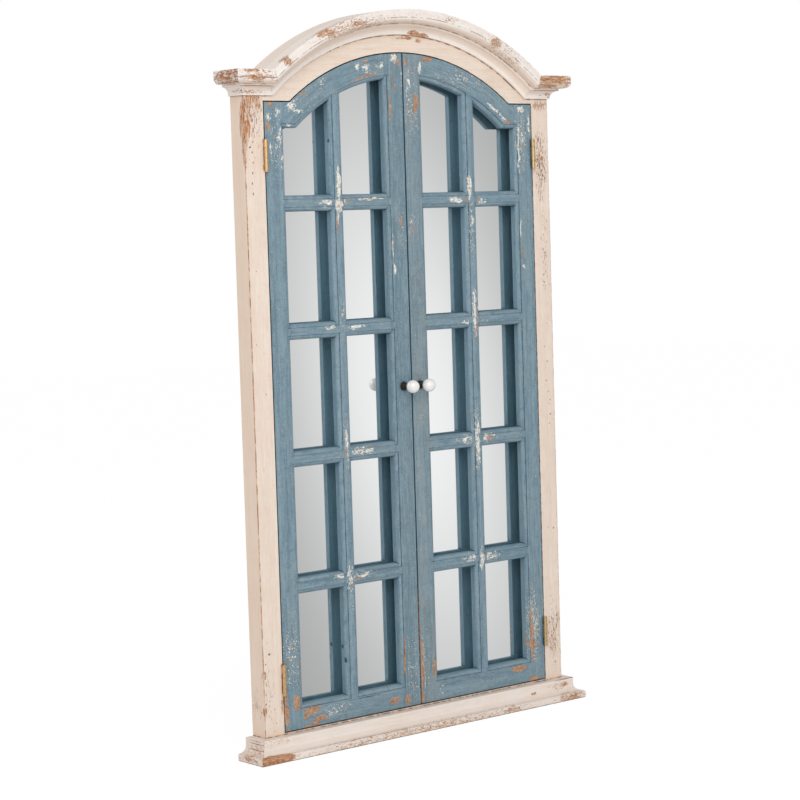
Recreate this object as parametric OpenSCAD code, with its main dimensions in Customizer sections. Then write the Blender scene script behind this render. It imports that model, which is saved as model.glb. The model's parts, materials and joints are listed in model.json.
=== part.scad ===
// Shutter mirror: an arched mirror in a moulded wooden case, behind two
// hinged window-style doors with open glazing grids.
// X runs across, Y from front (-) to wall (+), Z up from the foot of the sill.

/* [Case] */
// Overall width, over the ears of the crown and the ends of the sill
overall_w = 725; // [640:5:820]
// Overall height, from the foot of the sill to the top of the arch
overall_h = 1215; // [1100:5:1350]
// Depth of the case from its front face to the wall
case_d = 35; // [34:0.5:44]
// Width of a jamb seen from the front
jamb_w = 38.5; // [34:0.5:48]
// Radius of the top of the arch
arch_r = 456; // [440:1:480]
// Drop from the top of the arch to the top of an ear
ear_drop = 104; // [98:1:112]
// Plain face between the crown and the opening, round the arch
arch_band = 29; // [24:0.5:34]
// Plain face between the crown and the opening, beside the arch
shoulder_band = 8; // [6:0.5:14]
// Plain face between the sill moulding and the opening
sill_band = 2.5; // [2:0.5:10]
// Lengths of wood that the crown's arch is glued up from
arch_lengths = 5; // [3:1:7]
// Thickness of the glue between them
glue_t = 0.05; // [0.02:0.01:0.1]
// Width of the lip that stops the doors and holds the mirror
lip_w = 8; // [7:0.5:12]
// Length of the tenons that join the case
case_tenon_l = 20; // [12:1:26]
// Thickness of those tenons
case_tenon_t = 8; // [6:0.5:10]
// Wood left between those tenons and the ends of the jambs
case_tenon_end = 6; // [4:0.5:10]
// Clearance of every tenon in its mortise
tenon_clear = 0.1; // [0.05:0.05:0.3]

/* [Mouldings] */
// How far the crown and the sill stand out from the case
projection = 31; // [29:0.5:36]
// Height of the flat top band of the crown
fascia_h = 12.5; // [8:0.5:18]
// Radius of the crown's convex curve
ovolo_r = 9; // [7:0.5:11]
// Height of the small square step under it
fillet_h = 4; // [3:0.5:6]
// Radius of the crown's hollow curve
cove_r = 11.3; // [9:0.1:12]
// Height of the crown's foot
foot_h = 2.7; // [2:0.1:5]
// How far that foot stands out
foot_out = 4; // [3:0.5:5]
// Height of the sill moulding
sill_h = 37.5; // [34:0.5:44]
// Height of the rounded nose of the sill
nose_h = 13; // [10:0.5:15]
// Rounding of the nose
nose_r = 3.5; // [2:0.5:4.5]
// Width of the sill's flat top
sill_top_out = 15; // [13:0.5:16]

/* [Doors] */
// Thickness of the doors
door_t = 14; // [14:0.25:15]
// Gap between a door and the case
door_gap = 2; // [1.5:0.1:3]
// Gap between the two doors
centre_gap = 3; // [2:0.1:4]
// Gap between a closed door and the lip behind it
stop_gap = 0.4; // [0.3:0.1:1]
// Width of the stiles
stile_w = 39.5; // [36:0.5:46]
// Width of the bottom rail
bottom_rail_w = 40; // [34:0.5:50]
// Width of the arched top rail
top_rail_w = 41; // [36:0.5:46]
// Width of the glazing bars at their backs
bar_w = 26; // [24:0.5:30]
// Height of the top lights at their low side
top_light_h = 108.5; // [80:0.5:140]
// Radius of the rounded moulding round each light
bead_r = 6; // [4:0.5:7]
// Square step beside that moulding
quirk_w = 1; // [0.6:0.1:2]
// Depth of that step
quirk_d = 0.8; // [0.5:0.1:1.2]
// Length of the tenons of the doors
door_tenon_l = 9; // [6:0.5:14]
// Thickness of those tenons
door_tenon_t = 5; // [4:0.5:6]
// How far they lie behind the middle of the door's thickness
door_tenon_back = 1; // [0:0.25:1.5]
// Height of a glazing bar's tenon as a share of the bar
bar_tenon_share = 0.5; // [0.4:0.05:0.6]
// Wood left between a rail's tenon and the door's edge
rail_tenon_edge = 8; // [6:0.5:12]
// Wood left between a rail's tenon and the moulding
rail_tenon_shoulder = 3; // [2:0.5:5]

/* [Mirror] */
// Space between the backs of the doors and the mirror
mirror_gap = 11.5; // [9:0.5:12.5]
// Thickness of the mirror
mirror_t = 4; // [3:0.5:5]
// Thickness of the backboard
board_t = 4; // [3:0.5:4.5]
// How far the backboard laps over the case, outside the mirror
board_lap = 12; // [10:0.5:14]
// Play round the edges of the mirror and the backboard
pane_play = 0.5; // [0.2:0.1:1]

/* [Hinges] */
// Height of a hinge
hinge_h = 50; // [44:1:60]
// Middle of a hinge from the nearer end of its stile
hinge_inset = 85.5; // [60:0.5:120]
// Width of a leaf in the wood
leaf_w = 12; // [11:0.5:13]
// Thickness of a leaf
leaf_t = 1.5; // [1.2:0.1:1.6]
// Radius of the knuckles
knuckle_r = 3.25; // [3:0.05:3.4]
// Radius of the pin
pin_r = 1.5; // [1.2:0.05:1.8]
// Radial play of the pin in the knuckles
pin_clear = 0.05; // [0.02:0.01:0.09]
// How far the pin's axis stands in front of the case
pin_proud = 3.6; // [3.5:0.05:4.5]
// End gap between two knuckles
knuckle_gap = 0.2; // [0.1:0.05:0.5]

/* [Knobs and catches] */
// How far a knob stands out from the doors
knob_stand = 35; // [32:0.5:40]
// Radius of the ball
ball_r = 11; // [9:0.25:12]
// Radius of the neck where it meets the ball
neck_r = 4.4; // [4:0.1:5.5]
// Radius of the foot of the neck
neck_foot_r = 7; // [6:0.25:9]
// Radius of the knob's bolt
bolt_r = 2; // [1.5:0.1:2.2]
// Radius of a catch magnet and of its strike
magnet_r = 2.4; // [2:0.1:2.5]
// Length of a catch magnet
magnet_l = 5; // [3:0.5:8]
// Thickness of its strike
strike_t = 2; // [1:0.5:3]
// Catches from the middle of the mirror
catch_x = 20; // [14:1:30]

/* [Hanging] */
// Hangers from the middle of the mirror
hanger_x = 190; // [170:1:200]
// Width of a hanger plate
hanger_w = 16; // [14:0.5:18]
// Height of a hanger plate
hanger_h = 44; // [42:0.5:46]
// Thickness of a hanger plate
hanger_t = 1.5; // [1.2:0.1:2]
// Radius of the keyhole
keyhole_r = 4.5; // [4:0.1:5]
// Width of the keyhole's slot
slot_w = 4.5; // [4:0.1:5]
// Depth of the pocket behind a hanger plate
pocket_d = 8; // [6:0.5:12]
// Screws at each side of the backboard
side_screws = 4; // [2:1:6]

/* [Screws and bolts] */
// Radius of a hinge screw
hinge_screw_r = 1.4; // [1.2:0.1:1.5]
// Length of a hinge screw
hinge_screw_l = 13; // [10:0.5:16]
// Radius of a hanger screw
hanger_screw_r = 1.6; // [1.4:0.1:1.8]
// Length of a hanger screw
hanger_screw_l = 16; // [12:0.5:18]
// Radius of a backboard screw
board_screw_r = 1.5; // [1.3:0.1:1.6]
// Radius of its head
board_screw_head_r = 3; // [2.6:0.1:3.3]
// Length of a backboard screw
board_screw_l = 14; // [12:0.5:16]
// Radius of the head of a knob's bolt
bolt_head_r = 4; // [3:0.25:5]
// Height of that head
bolt_head_h = 2.2; // [1.5:0.1:3]
// How far the bolt reaches into the ball
bolt_in_ball = 12; // [8:0.5:14]

/* [Hidden] */
$fn = 96;
eps = 0.01;
// How far a cutting shape runs past what it cuts
past = 1;

// Depths, from the wall forwards. The knobs reach furthest forward.
total_d = case_d + max(knob_stand, projection);
wall_y = total_d / 2;
front_y = wall_y - case_d;
door_back_y = front_y + door_t;
lip_y = door_back_y + stop_gap;
mirror_y = door_back_y + mirror_gap;
board_y = mirror_y + mirror_t;

// The case and its opening
case_x = overall_w / 2 - projection;
open_x = case_x - jamb_w;
arch_z = overall_h - arch_r;
ear_z = overall_h - ear_drop;
crown_h = foot_h + cove_r + fillet_h + ovolo_r + fascia_h;
crown_z = ear_z - crown_h;
crown_foot_r = arch_r - crown_h;
open_r = crown_foot_r - arch_band;
open_top_z = crown_z - shoulder_band;
open_z = sill_h + sill_band;
lip_x = open_x - lip_w;

// Half the angle of the crown's arch, and where it meets the top and the foot of an ear
ear_top_x = sqrt(arch_r * arch_r - pow(ear_z - arch_z, 2));
ear_foot_x = sqrt(crown_foot_r * crown_foot_r - pow(crown_z - arch_z, 2));
arch_half_angle = atan2(ear_foot_x, crown_z - arch_z);

// One door, on the side of +X
door_x0 = centre_gap / 2;
door_x1 = open_x - door_gap;
door_z = open_z + door_gap;
door_top_z = open_top_z - door_gap;
door_r = open_r - door_gap;
light_x0 = door_x0 + stile_w;
light_x1 = door_x1 - stile_w;
light_z = door_z + bottom_rail_w;
light_top_z = door_top_z - top_rail_w;
light_r = door_r - top_rail_w;
bar_x = (light_x0 + light_x1) / 2;
bars = 4;
light_h = (light_top_z - light_z - top_light_h) / bars - bar_w;
bead_w = bead_r + quirk_w;
half_t = front_y + door_t / 2;
door_tenon_y = half_t + door_tenon_back;
tenon_end_gap = 1;

// Hinges
pin_x = (open_x + door_x1) / 2;
pin_y = front_y - pin_proud;
hinge_zs = [door_z + hinge_inset, door_top_z - hinge_inset];
// A screw's head sinks into its plate, down to this much from the back
head_seat = 0.1;
hinge_screw_head_r = hinge_screw_r + leaf_t - head_seat;
hinge_screw_share = 0.34;
hinge_screw_zs = [for (s = [-1 : 1]) s * hinge_screw_share * hinge_h];
leaf_screw_back = 1;
leaf_screw_y = front_y + leaf_w / 2 + leaf_screw_back;
// Ends of the three knuckles as shares of the hinge: frame, door, frame
knuckle_ends = [0, 0.25, 0.75, 1];
pin_cap_h = 1;
pin_cap_in = 0.5;

// Knobs, on the flat of the meeting stiles, level with the middle lights
knob_x = (door_x0 + light_x0 - bead_w) / 2;
knob_z = light_z + 2 * (light_h + bar_w) + light_h / 2;
ball_front = knob_stand - ball_r;
neck_l = ball_front - sqrt(ball_r * ball_r - neck_r * neck_r);
neck_foot_h = 2.5;
neck_waist_h = 4;
neck_waist_in = 1;
bolt_end_gap = 0.5;
bolt_clear = 0.1;

// Catches, where the doors lap over the lip of the bottom rail
catch_z = door_z + (lip_w - door_gap) / 2;

// Hangers, in the middle of the head rail's solid wood
rebate_r = open_r + board_lap;
hanger_lower = 1;
hanger_z = arch_z + (sqrt(rebate_r * rebate_r - hanger_x * hanger_x)
           + sqrt(arch_r * arch_r - hanger_x * hanger_x)) / 2 - hanger_lower;
keyhole_lower = 4;
keyhole_z = hanger_z - keyhole_lower;
slot_l = 9;
pocket_play = 0.5;
hanger_screw_head_r = hanger_screw_r + hanger_t - head_seat;
hanger_screw_end = 5.5;
hanger_screw_dz = hanger_h / 2 - hanger_screw_end;

// Backboard screws
board_screw_x = open_x + board_lap / 2;
board_screw_end = 90;
board_screw_angles = [-36, -13, 13, 36];
screw_clear = 0.05;

cream = [0.92, 0.87, 0.80];
blue = [0.46, 0.56, 0.61];
brass = [0.78, 0.60, 0.30];
steel = [0.62, 0.63, 0.65];

// ---- Helpers ----

// A box between two corners
module block(a, b) {
    translate(a) cube([b[0] - a[0], b[1] - a[1], b[2] - a[2]]);
}

// The same thing on the left side
module on_left() {
    mirror([1, 0, 0]) children();
}

// The same thing on both sides
module both_sides() {
    children();
    on_left() children();
}

// A flat shape (across, up) pushed from depth y0 to depth y1
module slab(y0, y1) {
    translate([0, y1, 0]) rotate([90, 0, 0]) linear_extrude(y1 - y0) children();
}

// A flat shape (radius, distance in front of the case) turned about the arch's centre
module turned() {
    translate([0, front_y, arch_z]) rotate([90, 0, 0]) rotate_extrude() children();
}

// A countersunk wood screw along +Z, its flat head at the origin
module wood_screw(r, head_r, length) {
    cylinder(r1 = head_r, r2 = r, h = head_r - r);
    translate([0, 0, head_r - r]) cylinder(r = r, h = length - head_r + r);
}

// ---- Crown and sill ----

// Crown moulding: distance out from the case, height above its foot
module crown_profile() {
    cove_top = foot_h + cove_r;
    fillet_top = cove_top + fillet_h;
    ovolo_top = fillet_top + ovolo_r;
    square([foot_out, foot_h]);
    difference() {
        translate([0, foot_h]) square([foot_out + cove_r, cove_r]);
        translate([foot_out + cove_r, foot_h]) circle(cove_r);
    }
    translate([0, cove_top]) square([foot_out + cove_r, fillet_h]);
    translate([0, fillet_top]) square([projection - ovolo_r, ovolo_r]);
    intersection() {
        translate([projection - ovolo_r, ovolo_top]) circle(ovolo_r);
        translate([0, fillet_top]) square([projection, ovolo_r]);
    }
    translate([0, ovolo_top]) square([projection, fascia_h]);
}

// Sill moulding: distance out from the case, height above the ground
module sill_profile() {
    hollow_r = projection - nose_r - sill_top_out;
    hollow_z = nose_h + hollow_r;
    difference() {
        union() {
            square([projection - nose_r, nose_h]);
            translate([0, nose_r]) square([projection, nose_h - 2 * nose_r]);
            for (z = [nose_r, nose_h - nose_r])
                translate([projection - nose_r, z]) circle(nose_r);
            translate([0, nose_h]) square([sill_top_out, sill_h - nose_h]);
            translate([0, nose_h]) square([sill_top_out + hollow_r, hollow_r]);
        }
        translate([sill_top_out + hollow_r, hollow_z]) circle(hollow_r);
    }
}

// A moulding along the front, from x0 to x1, its foot at z
module front_run(x0, x1, z) {
    translate([x0, front_y, z]) rotate([90, 0, 90]) linear_extrude(x1 - x0)
        mirror([1, 0]) children();
}

// A moulding along the right side of the case, its foot at z
module side_run(z) {
    translate([case_x, wall_y, z]) rotate([90, 0, 0])
        linear_extrude(case_d + projection) children();
}

// Everything in front of the right-hand corner's mitre
module mitre_front(z0, z1) {
    reach = 2 * projection;
    translate([case_x, front_y, z0]) linear_extrude(z1 - z0)
        polygon([[0, 0], [reach, -reach], [-overall_w, -reach], [-overall_w, 0]]);
}

// Everything beside the right-hand corner's mitre
module mitre_side(z0, z1) {
    reach = 2 * projection;
    translate([case_x, front_y, z0]) linear_extrude(z1 - z0)
        polygon([[0, 0], [0, case_d], [reach, case_d], [reach, -reach]]);
}

// The flat shape outside the joint between the crown's arch and its right ear
module beside_arch() {
    slope = (ear_top_x - ear_foot_x) / crown_h;
    polygon([
        [ear_foot_x - slope * crown_h, crown_z - crown_h],
        [ear_top_x + slope * crown_h, ear_z + crown_h],
        [overall_w, ear_z + crown_h],
        [overall_w, crown_z - crown_h]
    ]);
}

// The joints between the lengths of the crown's arch, each as thick as its glue
module arch_joints() {
    step = 2 * arch_half_angle / arch_lengths;
    for (i = [1 : arch_lengths - 1])
        translate([0, arch_z]) rotate(arch_half_angle - i * step)
            translate([-glue_t / 2, 0]) square([glue_t, 2 * arch_r]);
}

// The curved moulding, glued up in lengths because no board is wide enough for all of it
module crown_arch() {
    front = front_y - projection - past;
    color(cream) difference() {
        intersection() {
            turned() translate([crown_foot_r, 0]) mirror([1, -1]) crown_profile();
            slab(front, front_y) translate([-ear_top_x, crown_z - past])
                square([2 * ear_top_x, overall_h - crown_z + 2 * past]);
        }
        both_sides() slab(front, front_y + past) beside_arch();
        slab(front, front_y + past) arch_joints();
    }
}

module crown_ear() {
    color(cream) intersection() {
        front_run(0, overall_w / 2, crown_z) crown_profile();
        mitre_front(crown_z - past, ear_z + past);
        slab(front_y - projection - past, front_y) beside_arch();
    }
}

module crown_return() {
    color(cream) intersection() {
        side_run(crown_z) crown_profile();
        mitre_side(crown_z - past, ear_z + past);
    }
}

module sill_front() {
    color(cream) intersection() {
        front_run(-overall_w / 2, overall_w / 2, 0) sill_profile();
        mitre_front(-past, sill_h + past);
        on_left() mitre_front(-past, sill_h + past);
    }
}

module sill_return() {
    color(cream) intersection() {
        side_run(0) sill_profile();
        mitre_side(-past, sill_h + past);
    }
}

// ---- Case ----

// Outline of the opening, grown by g all round
module opening_shape(g) {
    translate([-open_x - g, open_z - g])
        square([2 * (open_x + g), open_top_z - open_z + 2 * g]);
    intersection() {
        translate([0, arch_z]) circle(open_r + g);
        translate([-open_x - g, arch_z]) square([2 * (open_x + g), open_r + 2 * g]);
    }
}

// Space for the backboard and for the mirror, behind the lip
module back_rebates() {
    slab(mirror_y, board_y) opening_shape(0);
    slab(board_y, wall_y + past) opening_shape(board_lap);
}

// Tenons between the case's rails and the right jamb
module case_tenons(play) {
    mid_y = (lip_y + mirror_y) / 2;
    head_z = [open_top_z + board_lap + past, ear_z - case_tenon_end];
    foot_z = [case_tenon_end, open_z - board_lap - past];
    for (z = [head_z, foot_z])
        block([open_x - past, mid_y - case_tenon_t / 2 - play, z[0] - play],
              [open_x + case_tenon_l + play, mid_y + case_tenon_t / 2 + play, z[1] + play]);
}

// Pilot holes for the screws that the case holds
module case_screw_holes() {
    place_board_screws() cylinder(r = board_screw_r + screw_clear, h = board_screw_l + screw_clear);
    both_sides() place_hanger_screws()
        cylinder(r = hanger_screw_r + screw_clear, h = hanger_screw_l + screw_clear);
}

module jamb() {
    color(cream) difference() {
        union() {
            block([open_x, front_y, 0], [case_x, wall_y, ear_z]);
            block([lip_x, lip_y, open_z], [open_x, mirror_y, open_top_z]);
        }
        back_rebates();
        case_tenons(tenon_clear);
        place_hinges() leaf_seat(open_x);
        place_hinges() frame_leaf_screws() screw_bore();
        case_screw_holes();
    }
}

module head_rail() {
    color(cream) difference() {
        union() {
            slab(front_y, wall_y) translate([-open_x, open_top_z])
                square([2 * open_x, ear_z - open_top_z]);
            slab(front_y, wall_y) intersection() {
                translate([0, arch_z]) circle(arch_r);
                translate([-open_x, open_top_z]) square([2 * open_x, arch_r]);
            }
            block([-lip_x, lip_y, open_top_z - lip_w], [lip_x, mirror_y, open_top_z]);
            both_sides() case_tenons(0);
        }
        block([-open_x - case_tenon_l, front_y, 0],
              [open_x + case_tenon_l, wall_y, open_top_z - lip_w]);
        slab(front_y - past, lip_y) translate([0, arch_z]) circle(open_r);
        slab(lip_y - past, mirror_y + past) translate([0, arch_z]) circle(open_r - lip_w);
        back_rebates();
        both_sides() hanger_seat();
        case_screw_holes();
    }
}

module bottom_rail() {
    color(cream) difference() {
        union() {
            block([-open_x, front_y, 0], [open_x, wall_y, open_z]);
            block([-lip_x, lip_y, open_z], [lip_x, mirror_y, open_z + lip_w]);
            both_sides() intersection() {
                case_tenons(0);
                block([0, front_y, 0], [case_x, wall_y, open_z]);
            }
        }
        back_rebates();
        both_sides() magnet_hole();
        case_screw_holes();
    }
}

// ---- Mirror and back ----

module mirror_glass() {
    color([0.75, 0.80, 0.82]) slab(mirror_y, board_y) opening_shape(-pane_play);
}

module backboard() {
    color([0.62, 0.47, 0.33]) difference() {
        slab(board_y, board_y + board_t) opening_shape(board_lap - pane_play);
        place_board_screws()
            wood_screw(board_screw_r + screw_clear, board_screw_head_r + screw_clear, board_screw_l);
    }
}

// Repeats a screw round the edge of the backboard
module place_board_screws() {
    screw_y = board_y + board_t;
    run = open_top_z - open_z - 2 * board_screw_end;
    both_sides() for (i = [0 : side_screws - 1])
        translate([board_screw_x, screw_y, open_z + board_screw_end + run * i / (side_screws - 1)])
            rotate([90, 0, 0]) children();
    both_sides() translate([open_x / 2, screw_y, open_z - board_lap / 2])
        rotate([90, 0, 0]) children();
    for (a = board_screw_angles)
        translate([(open_r + board_lap / 2) * sin(a), screw_y,
                   arch_z + (open_r + board_lap / 2) * cos(a)])
            rotate([90, 0, 0]) children();
}

module backboard_screws() {
    color(steel) place_board_screws() wood_screw(board_screw_r, board_screw_head_r, board_screw_l);
}

// Recess for a hanger plate, with a pocket behind its keyhole
module hanger_seat() {
    block([hanger_x - hanger_w / 2, wall_y - hanger_t, hanger_z - hanger_h / 2],
          [hanger_x + hanger_w / 2, wall_y + past, hanger_z + hanger_h / 2]);
    pocket_r = keyhole_r + pocket_play;
    block([hanger_x - pocket_r, wall_y - hanger_t - pocket_d, keyhole_z - pocket_r],
          [hanger_x + pocket_r, wall_y, keyhole_z + slot_l + keyhole_r]);
}

module place_hanger_screws() {
    for (dz = [-hanger_screw_dz, hanger_screw_dz])
        translate([hanger_x, wall_y, hanger_z + dz]) rotate([90, 0, 0]) children();
}

module hanger_plate() {
    difference() {
        block([hanger_x - hanger_w / 2, wall_y - hanger_t, hanger_z - hanger_h / 2],
              [hanger_x + hanger_w / 2, wall_y, hanger_z + hanger_h / 2]);
        slab(wall_y - hanger_t - past, wall_y + past) {
            translate([hanger_x, keyhole_z]) circle(keyhole_r);
            translate([hanger_x - slot_w / 2, keyhole_z]) square([slot_w, slot_l]);
            translate([hanger_x, keyhole_z + slot_l]) circle(slot_w / 2);
        }
        place_hanger_screws()
            wood_screw(hanger_screw_r + screw_clear, hanger_screw_head_r + screw_clear, hanger_screw_l);
    }
}

module hanger_plates() {
    color(steel) both_sides() hanger_plate();
}

module hanger_screws() {
    color(steel) both_sides() place_hanger_screws()
        wood_screw(hanger_screw_r, hanger_screw_head_r, hanger_screw_l);
}

// ---- Hinges, on the side of +X ----

module place_hinges() {
    for (z = hinge_zs) translate([0, 0, z]) children();
}

// Seat of a leaf, cut into the wood whose edge is at x
module leaf_seat(x) {
    into = x > pin_x ? leaf_t : -leaf_t;
    block([min(x, x + into) - (into < 0 ? 0 : past), front_y - past, -hinge_h / 2],
          [max(x, x + into) + (into < 0 ? past : 0), front_y + leaf_w, hinge_h / 2]);
}

// One leaf: a plate against the edge at x, rolled round the pin at the given knuckles
module hinge_leaf(x, knuckles) {
    x0 = x > pin_x ? x : x - leaf_t;
    difference() {
        union() {
            block([x0, front_y, -hinge_h / 2], [x0 + leaf_t, front_y + leaf_w, hinge_h / 2]);
            for (k = knuckles) {
                z0 = hinge_h * (knuckle_ends[k] - 0.5) + (k > 0 ? knuckle_gap / 2 : 0);
                z1 = hinge_h * (knuckle_ends[k + 1] - 0.5) - (k < 2 ? knuckle_gap / 2 : 0);
                translate([pin_x, pin_y, z0]) cylinder(r = knuckle_r, h = z1 - z0);
                block([x0, pin_y, z0], [x0 + leaf_t, front_y + eps, z1]);
            }
        }
        translate([pin_x, pin_y, -hinge_h]) cylinder(r = pin_r + pin_clear, h = 2 * hinge_h);
    }
}

module frame_leaf_screws() {
    for (z = hinge_screw_zs)
        translate([open_x, leaf_screw_y, z]) rotate([0, 90, 0]) children();
}

module door_leaf_screws() {
    for (z = hinge_screw_zs)
        translate([door_x1, leaf_screw_y, z]) rotate([0, -90, 0]) children();
}

module hinge_screw() {
    wood_screw(hinge_screw_r, hinge_screw_head_r, hinge_screw_l);
}

module hinge_screw_hole() {
    wood_screw(hinge_screw_r + screw_clear, hinge_screw_head_r + screw_clear, hinge_screw_l + past);
}

module screw_bore() {
    cylinder(r = hinge_screw_r + screw_clear, h = hinge_screw_l + screw_clear);
}

module hinge_frame_leaves() {
    color(brass) both_sides() place_hinges() difference() {
        hinge_leaf(open_x, [0, 2]);
        frame_leaf_screws() hinge_screw_hole();
    }
}

module hinge_pins() {
    color(brass) both_sides() place_hinges() translate([pin_x, pin_y, -hinge_h / 2 - pin_cap_h]) {
        cylinder(r = pin_r, h = hinge_h + 2 * pin_cap_h);
        cylinder(r = knuckle_r - pin_cap_in, h = pin_cap_h);
        translate([0, 0, hinge_h + pin_cap_h]) cylinder(r = knuckle_r - pin_cap_in, h = pin_cap_h);
    }
}

module hinge_frame_screws() {
    color(brass) both_sides() place_hinges() frame_leaf_screws() hinge_screw();
}

module hinge_leaves() {
    color(brass) place_hinges() difference() {
        hinge_leaf(door_x1, [1]);
        door_leaf_screws() hinge_screw_hole();
    }
}

module hinge_screws() {
    color(brass) place_hinges() door_leaf_screws() hinge_screw();
}

// ---- Catches ----

module magnet_hole() {
    translate([catch_x, lip_y - eps, catch_z]) rotate([-90, 0, 0])
        cylinder(r = magnet_r + screw_clear, h = magnet_l + eps);
}

module catch_magnets() {
    color(steel) both_sides() translate([catch_x, lip_y, catch_z]) rotate([-90, 0, 0])
        cylinder(r = magnet_r, h = magnet_l);
}

module strike_hole() {
    translate([catch_x, door_back_y - strike_t, catch_z]) rotate([-90, 0, 0])
        cylinder(r = magnet_r + screw_clear, h = strike_t + past);
}

module catch_strike() {
    color(steel) translate([catch_x, door_back_y - strike_t, catch_z]) rotate([-90, 0, 0])
        cylinder(r = magnet_r, h = strike_t);
}

// ---- Doors, on the side of +X ----

// Half the section of a light: distance from its middle, depth behind the doors' faces
module light_profile(half) {
    bead_back = quirk_d + bead_r;
    translate([0, -past]) square([half, door_t + 2 * past]);
    translate([0, -past]) square([half + bead_w, quirk_d + past]);
    difference() {
        translate([0, quirk_d]) square([half + bead_r, bead_r]);
        translate([half + bead_r, bead_back]) circle(bead_r);
    }
}

// The space of a light between x0 and x1, moulded along its upright edges
module light_across(x0, x1) {
    half = (x1 - x0) / 2;
    translate([x0 + half, front_y, 0]) linear_extrude(overall_h) {
        light_profile(half);
        mirror([1, 0]) light_profile(half);
    }
}

// The space of a light between z0 and z1, moulded along its level edges
module light_up(z0, z1) {
    half = (z1 - z0) / 2;
    translate([0, front_y, z0 + half]) rotate([90, 0, 90]) linear_extrude(overall_w / 2) mirror([1, -1]) {
        light_profile(half);
        mirror([1, 0]) light_profile(half);
    }
}

// The space under the arched rail, moulded along the arch
module light_arch() {
    turned() mirror([0, 1]) light_profile(light_r);
}

// Everything inside the arched rail's edge grown by g, as one flat shape
module below_arch_rail(g) {
    translate([0, arch_z]) circle(light_r + g);
    translate([0, open_z]) square([open_x, arch_z - open_z]);
}

// Left and right sides of the lights in a column
function column_x0(c) = c == 0 ? light_x0 : bar_x + bar_w / 2;
function column_x1(c) = c == 0 ? bar_x - bar_w / 2 : light_x1;

// Foot of the lights in a row
function row_z(r) = light_z + r * (light_h + bar_w);

// The space of one plain light
module plain_light(c, r) {
    intersection() {
        light_across(column_x0(c), column_x1(c));
        light_up(row_z(r), row_z(r) + light_h);
    }
}

// The space of one light of the top row
module top_light(c) {
    intersection() {
        light_across(column_x0(c), column_x1(c));
        union() {
            light_up(row_z(bars), light_top_z);
            intersection() {
                light_arch();
                light_up(row_z(bars), 2 * overall_h);
            }
        }
    }
}

// All the lights that touch the given columns and rows
module lights(columns, rows) {
    for (c = columns, r = rows) {
        if (r < bars) plain_light(c, r);
        else top_light(c);
    }
}

// Outline of the whole door
module door_shape() {
    translate([door_x0, door_z]) square([door_x1 - door_x0, door_top_z - door_z]);
    intersection() {
        translate([0, arch_z]) circle(door_r);
        translate([door_x0, arch_z]) square([door_x1 - door_x0, door_r]);
    }
}

// A tenon centred on depth, reaching past x0 and x1
module cross_tenon(x0, x1, z0, z1, play) {
    block([x0 - play, door_tenon_y - door_tenon_t / 2 - play, z0 - play],
          [x1 + play, door_tenon_y + door_tenon_t / 2 + play, z1 + play]);
}

// Tenons of the bars and rails that run across, in both stiles
module stile_tenons(play) {
    x0 = light_x0 - door_tenon_l;
    x1 = light_x1 + door_tenon_l;
    half_h = bar_w * bar_tenon_share / 2;
    in = bead_w + rail_tenon_shoulder;
    for (r = [1 : bars])
        cross_tenon(x0, x1, row_z(r) - bar_w / 2 - half_h, row_z(r) - bar_w / 2 + half_h, play);
    cross_tenon(x0, x1, door_z + rail_tenon_edge, light_z - in, play);
    cross_tenon(light_x1 - past, x1, light_top_z + in, door_top_z - rail_tenon_edge, play);
    cross_tenon(x0, light_x0 + past, arch_z + light_r + in, arch_z + door_r - rail_tenon_edge, play);
}

// Tenons of the upright bar in the rails above and below it
module bar_tenons(play) {
    half_w = bar_w * bar_tenon_share / 2;
    y0 = door_tenon_y - door_tenon_t / 2 - play;
    y1 = door_tenon_y + door_tenon_t / 2 + play;
    block([bar_x - half_w - play, y0, light_z - door_tenon_l - play],
          [bar_x + half_w + play, y1, arch_z + light_r + door_tenon_l]);
}

// Where the upright bar crosses the others: the back half is the cross bar's
module lap_back(play) {
    for (r = [1 : bars])
        block([bar_x - bar_w / 2 - past, half_t - play, row_z(r) - bar_w - play],
              [bar_x + bar_w / 2 + past, door_back_y + past, row_z(r) + play]);
}

module knob_bore() {
    translate([knob_x, front_y - past, knob_z]) rotate([-90, 0, 0])
        cylinder(r = bolt_r + bolt_clear, h = door_t + 2 * past);
}

module hinge_stile() {
    color(blue) difference() {
        block([light_x1, front_y, door_z], [door_x1, door_back_y, door_top_z]);
        lights([1], [0 : bars]);
        stile_tenons(tenon_clear);
        place_hinges() leaf_seat(door_x1);
        place_hinges() door_leaf_screws() screw_bore();
    }
}

module meeting_stile() {
    color(blue) difference() {
        intersection() {
            slab(front_y, door_back_y) door_shape();
            block([door_x0, front_y, door_z], [light_x0, door_back_y, overall_h]);
        }
        lights([0], [0 : bars]);
        stile_tenons(tenon_clear);
        strike_hole();
        knob_bore();
    }
}

module arch_rail() {
    color(blue) difference() {
        union() {
            intersection() {
                slab(front_y, door_back_y) door_shape();
                block([light_x0, front_y, light_top_z], [light_x1, door_back_y, overall_h]);
            }
            intersection() {
                stile_tenons(0);
                block([0, front_y, light_top_z], [case_x, door_back_y, overall_h]);
            }
        }
        slab(front_y - past, door_back_y + past) below_arch_rail(0);
        lights([0, 1], [bars]);
        bar_tenons(tenon_clear);
    }
}

module door_bottom_rail() {
    color(blue) difference() {
        union() {
            block([light_x0, front_y, door_z], [light_x1, door_back_y, light_z]);
            intersection() {
                stile_tenons(0);
                block([0, front_y, door_z], [case_x, door_back_y, light_z]);
            }
        }
        lights([0, 1], [0]);
        bar_tenons(tenon_clear);
    }
}

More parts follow.
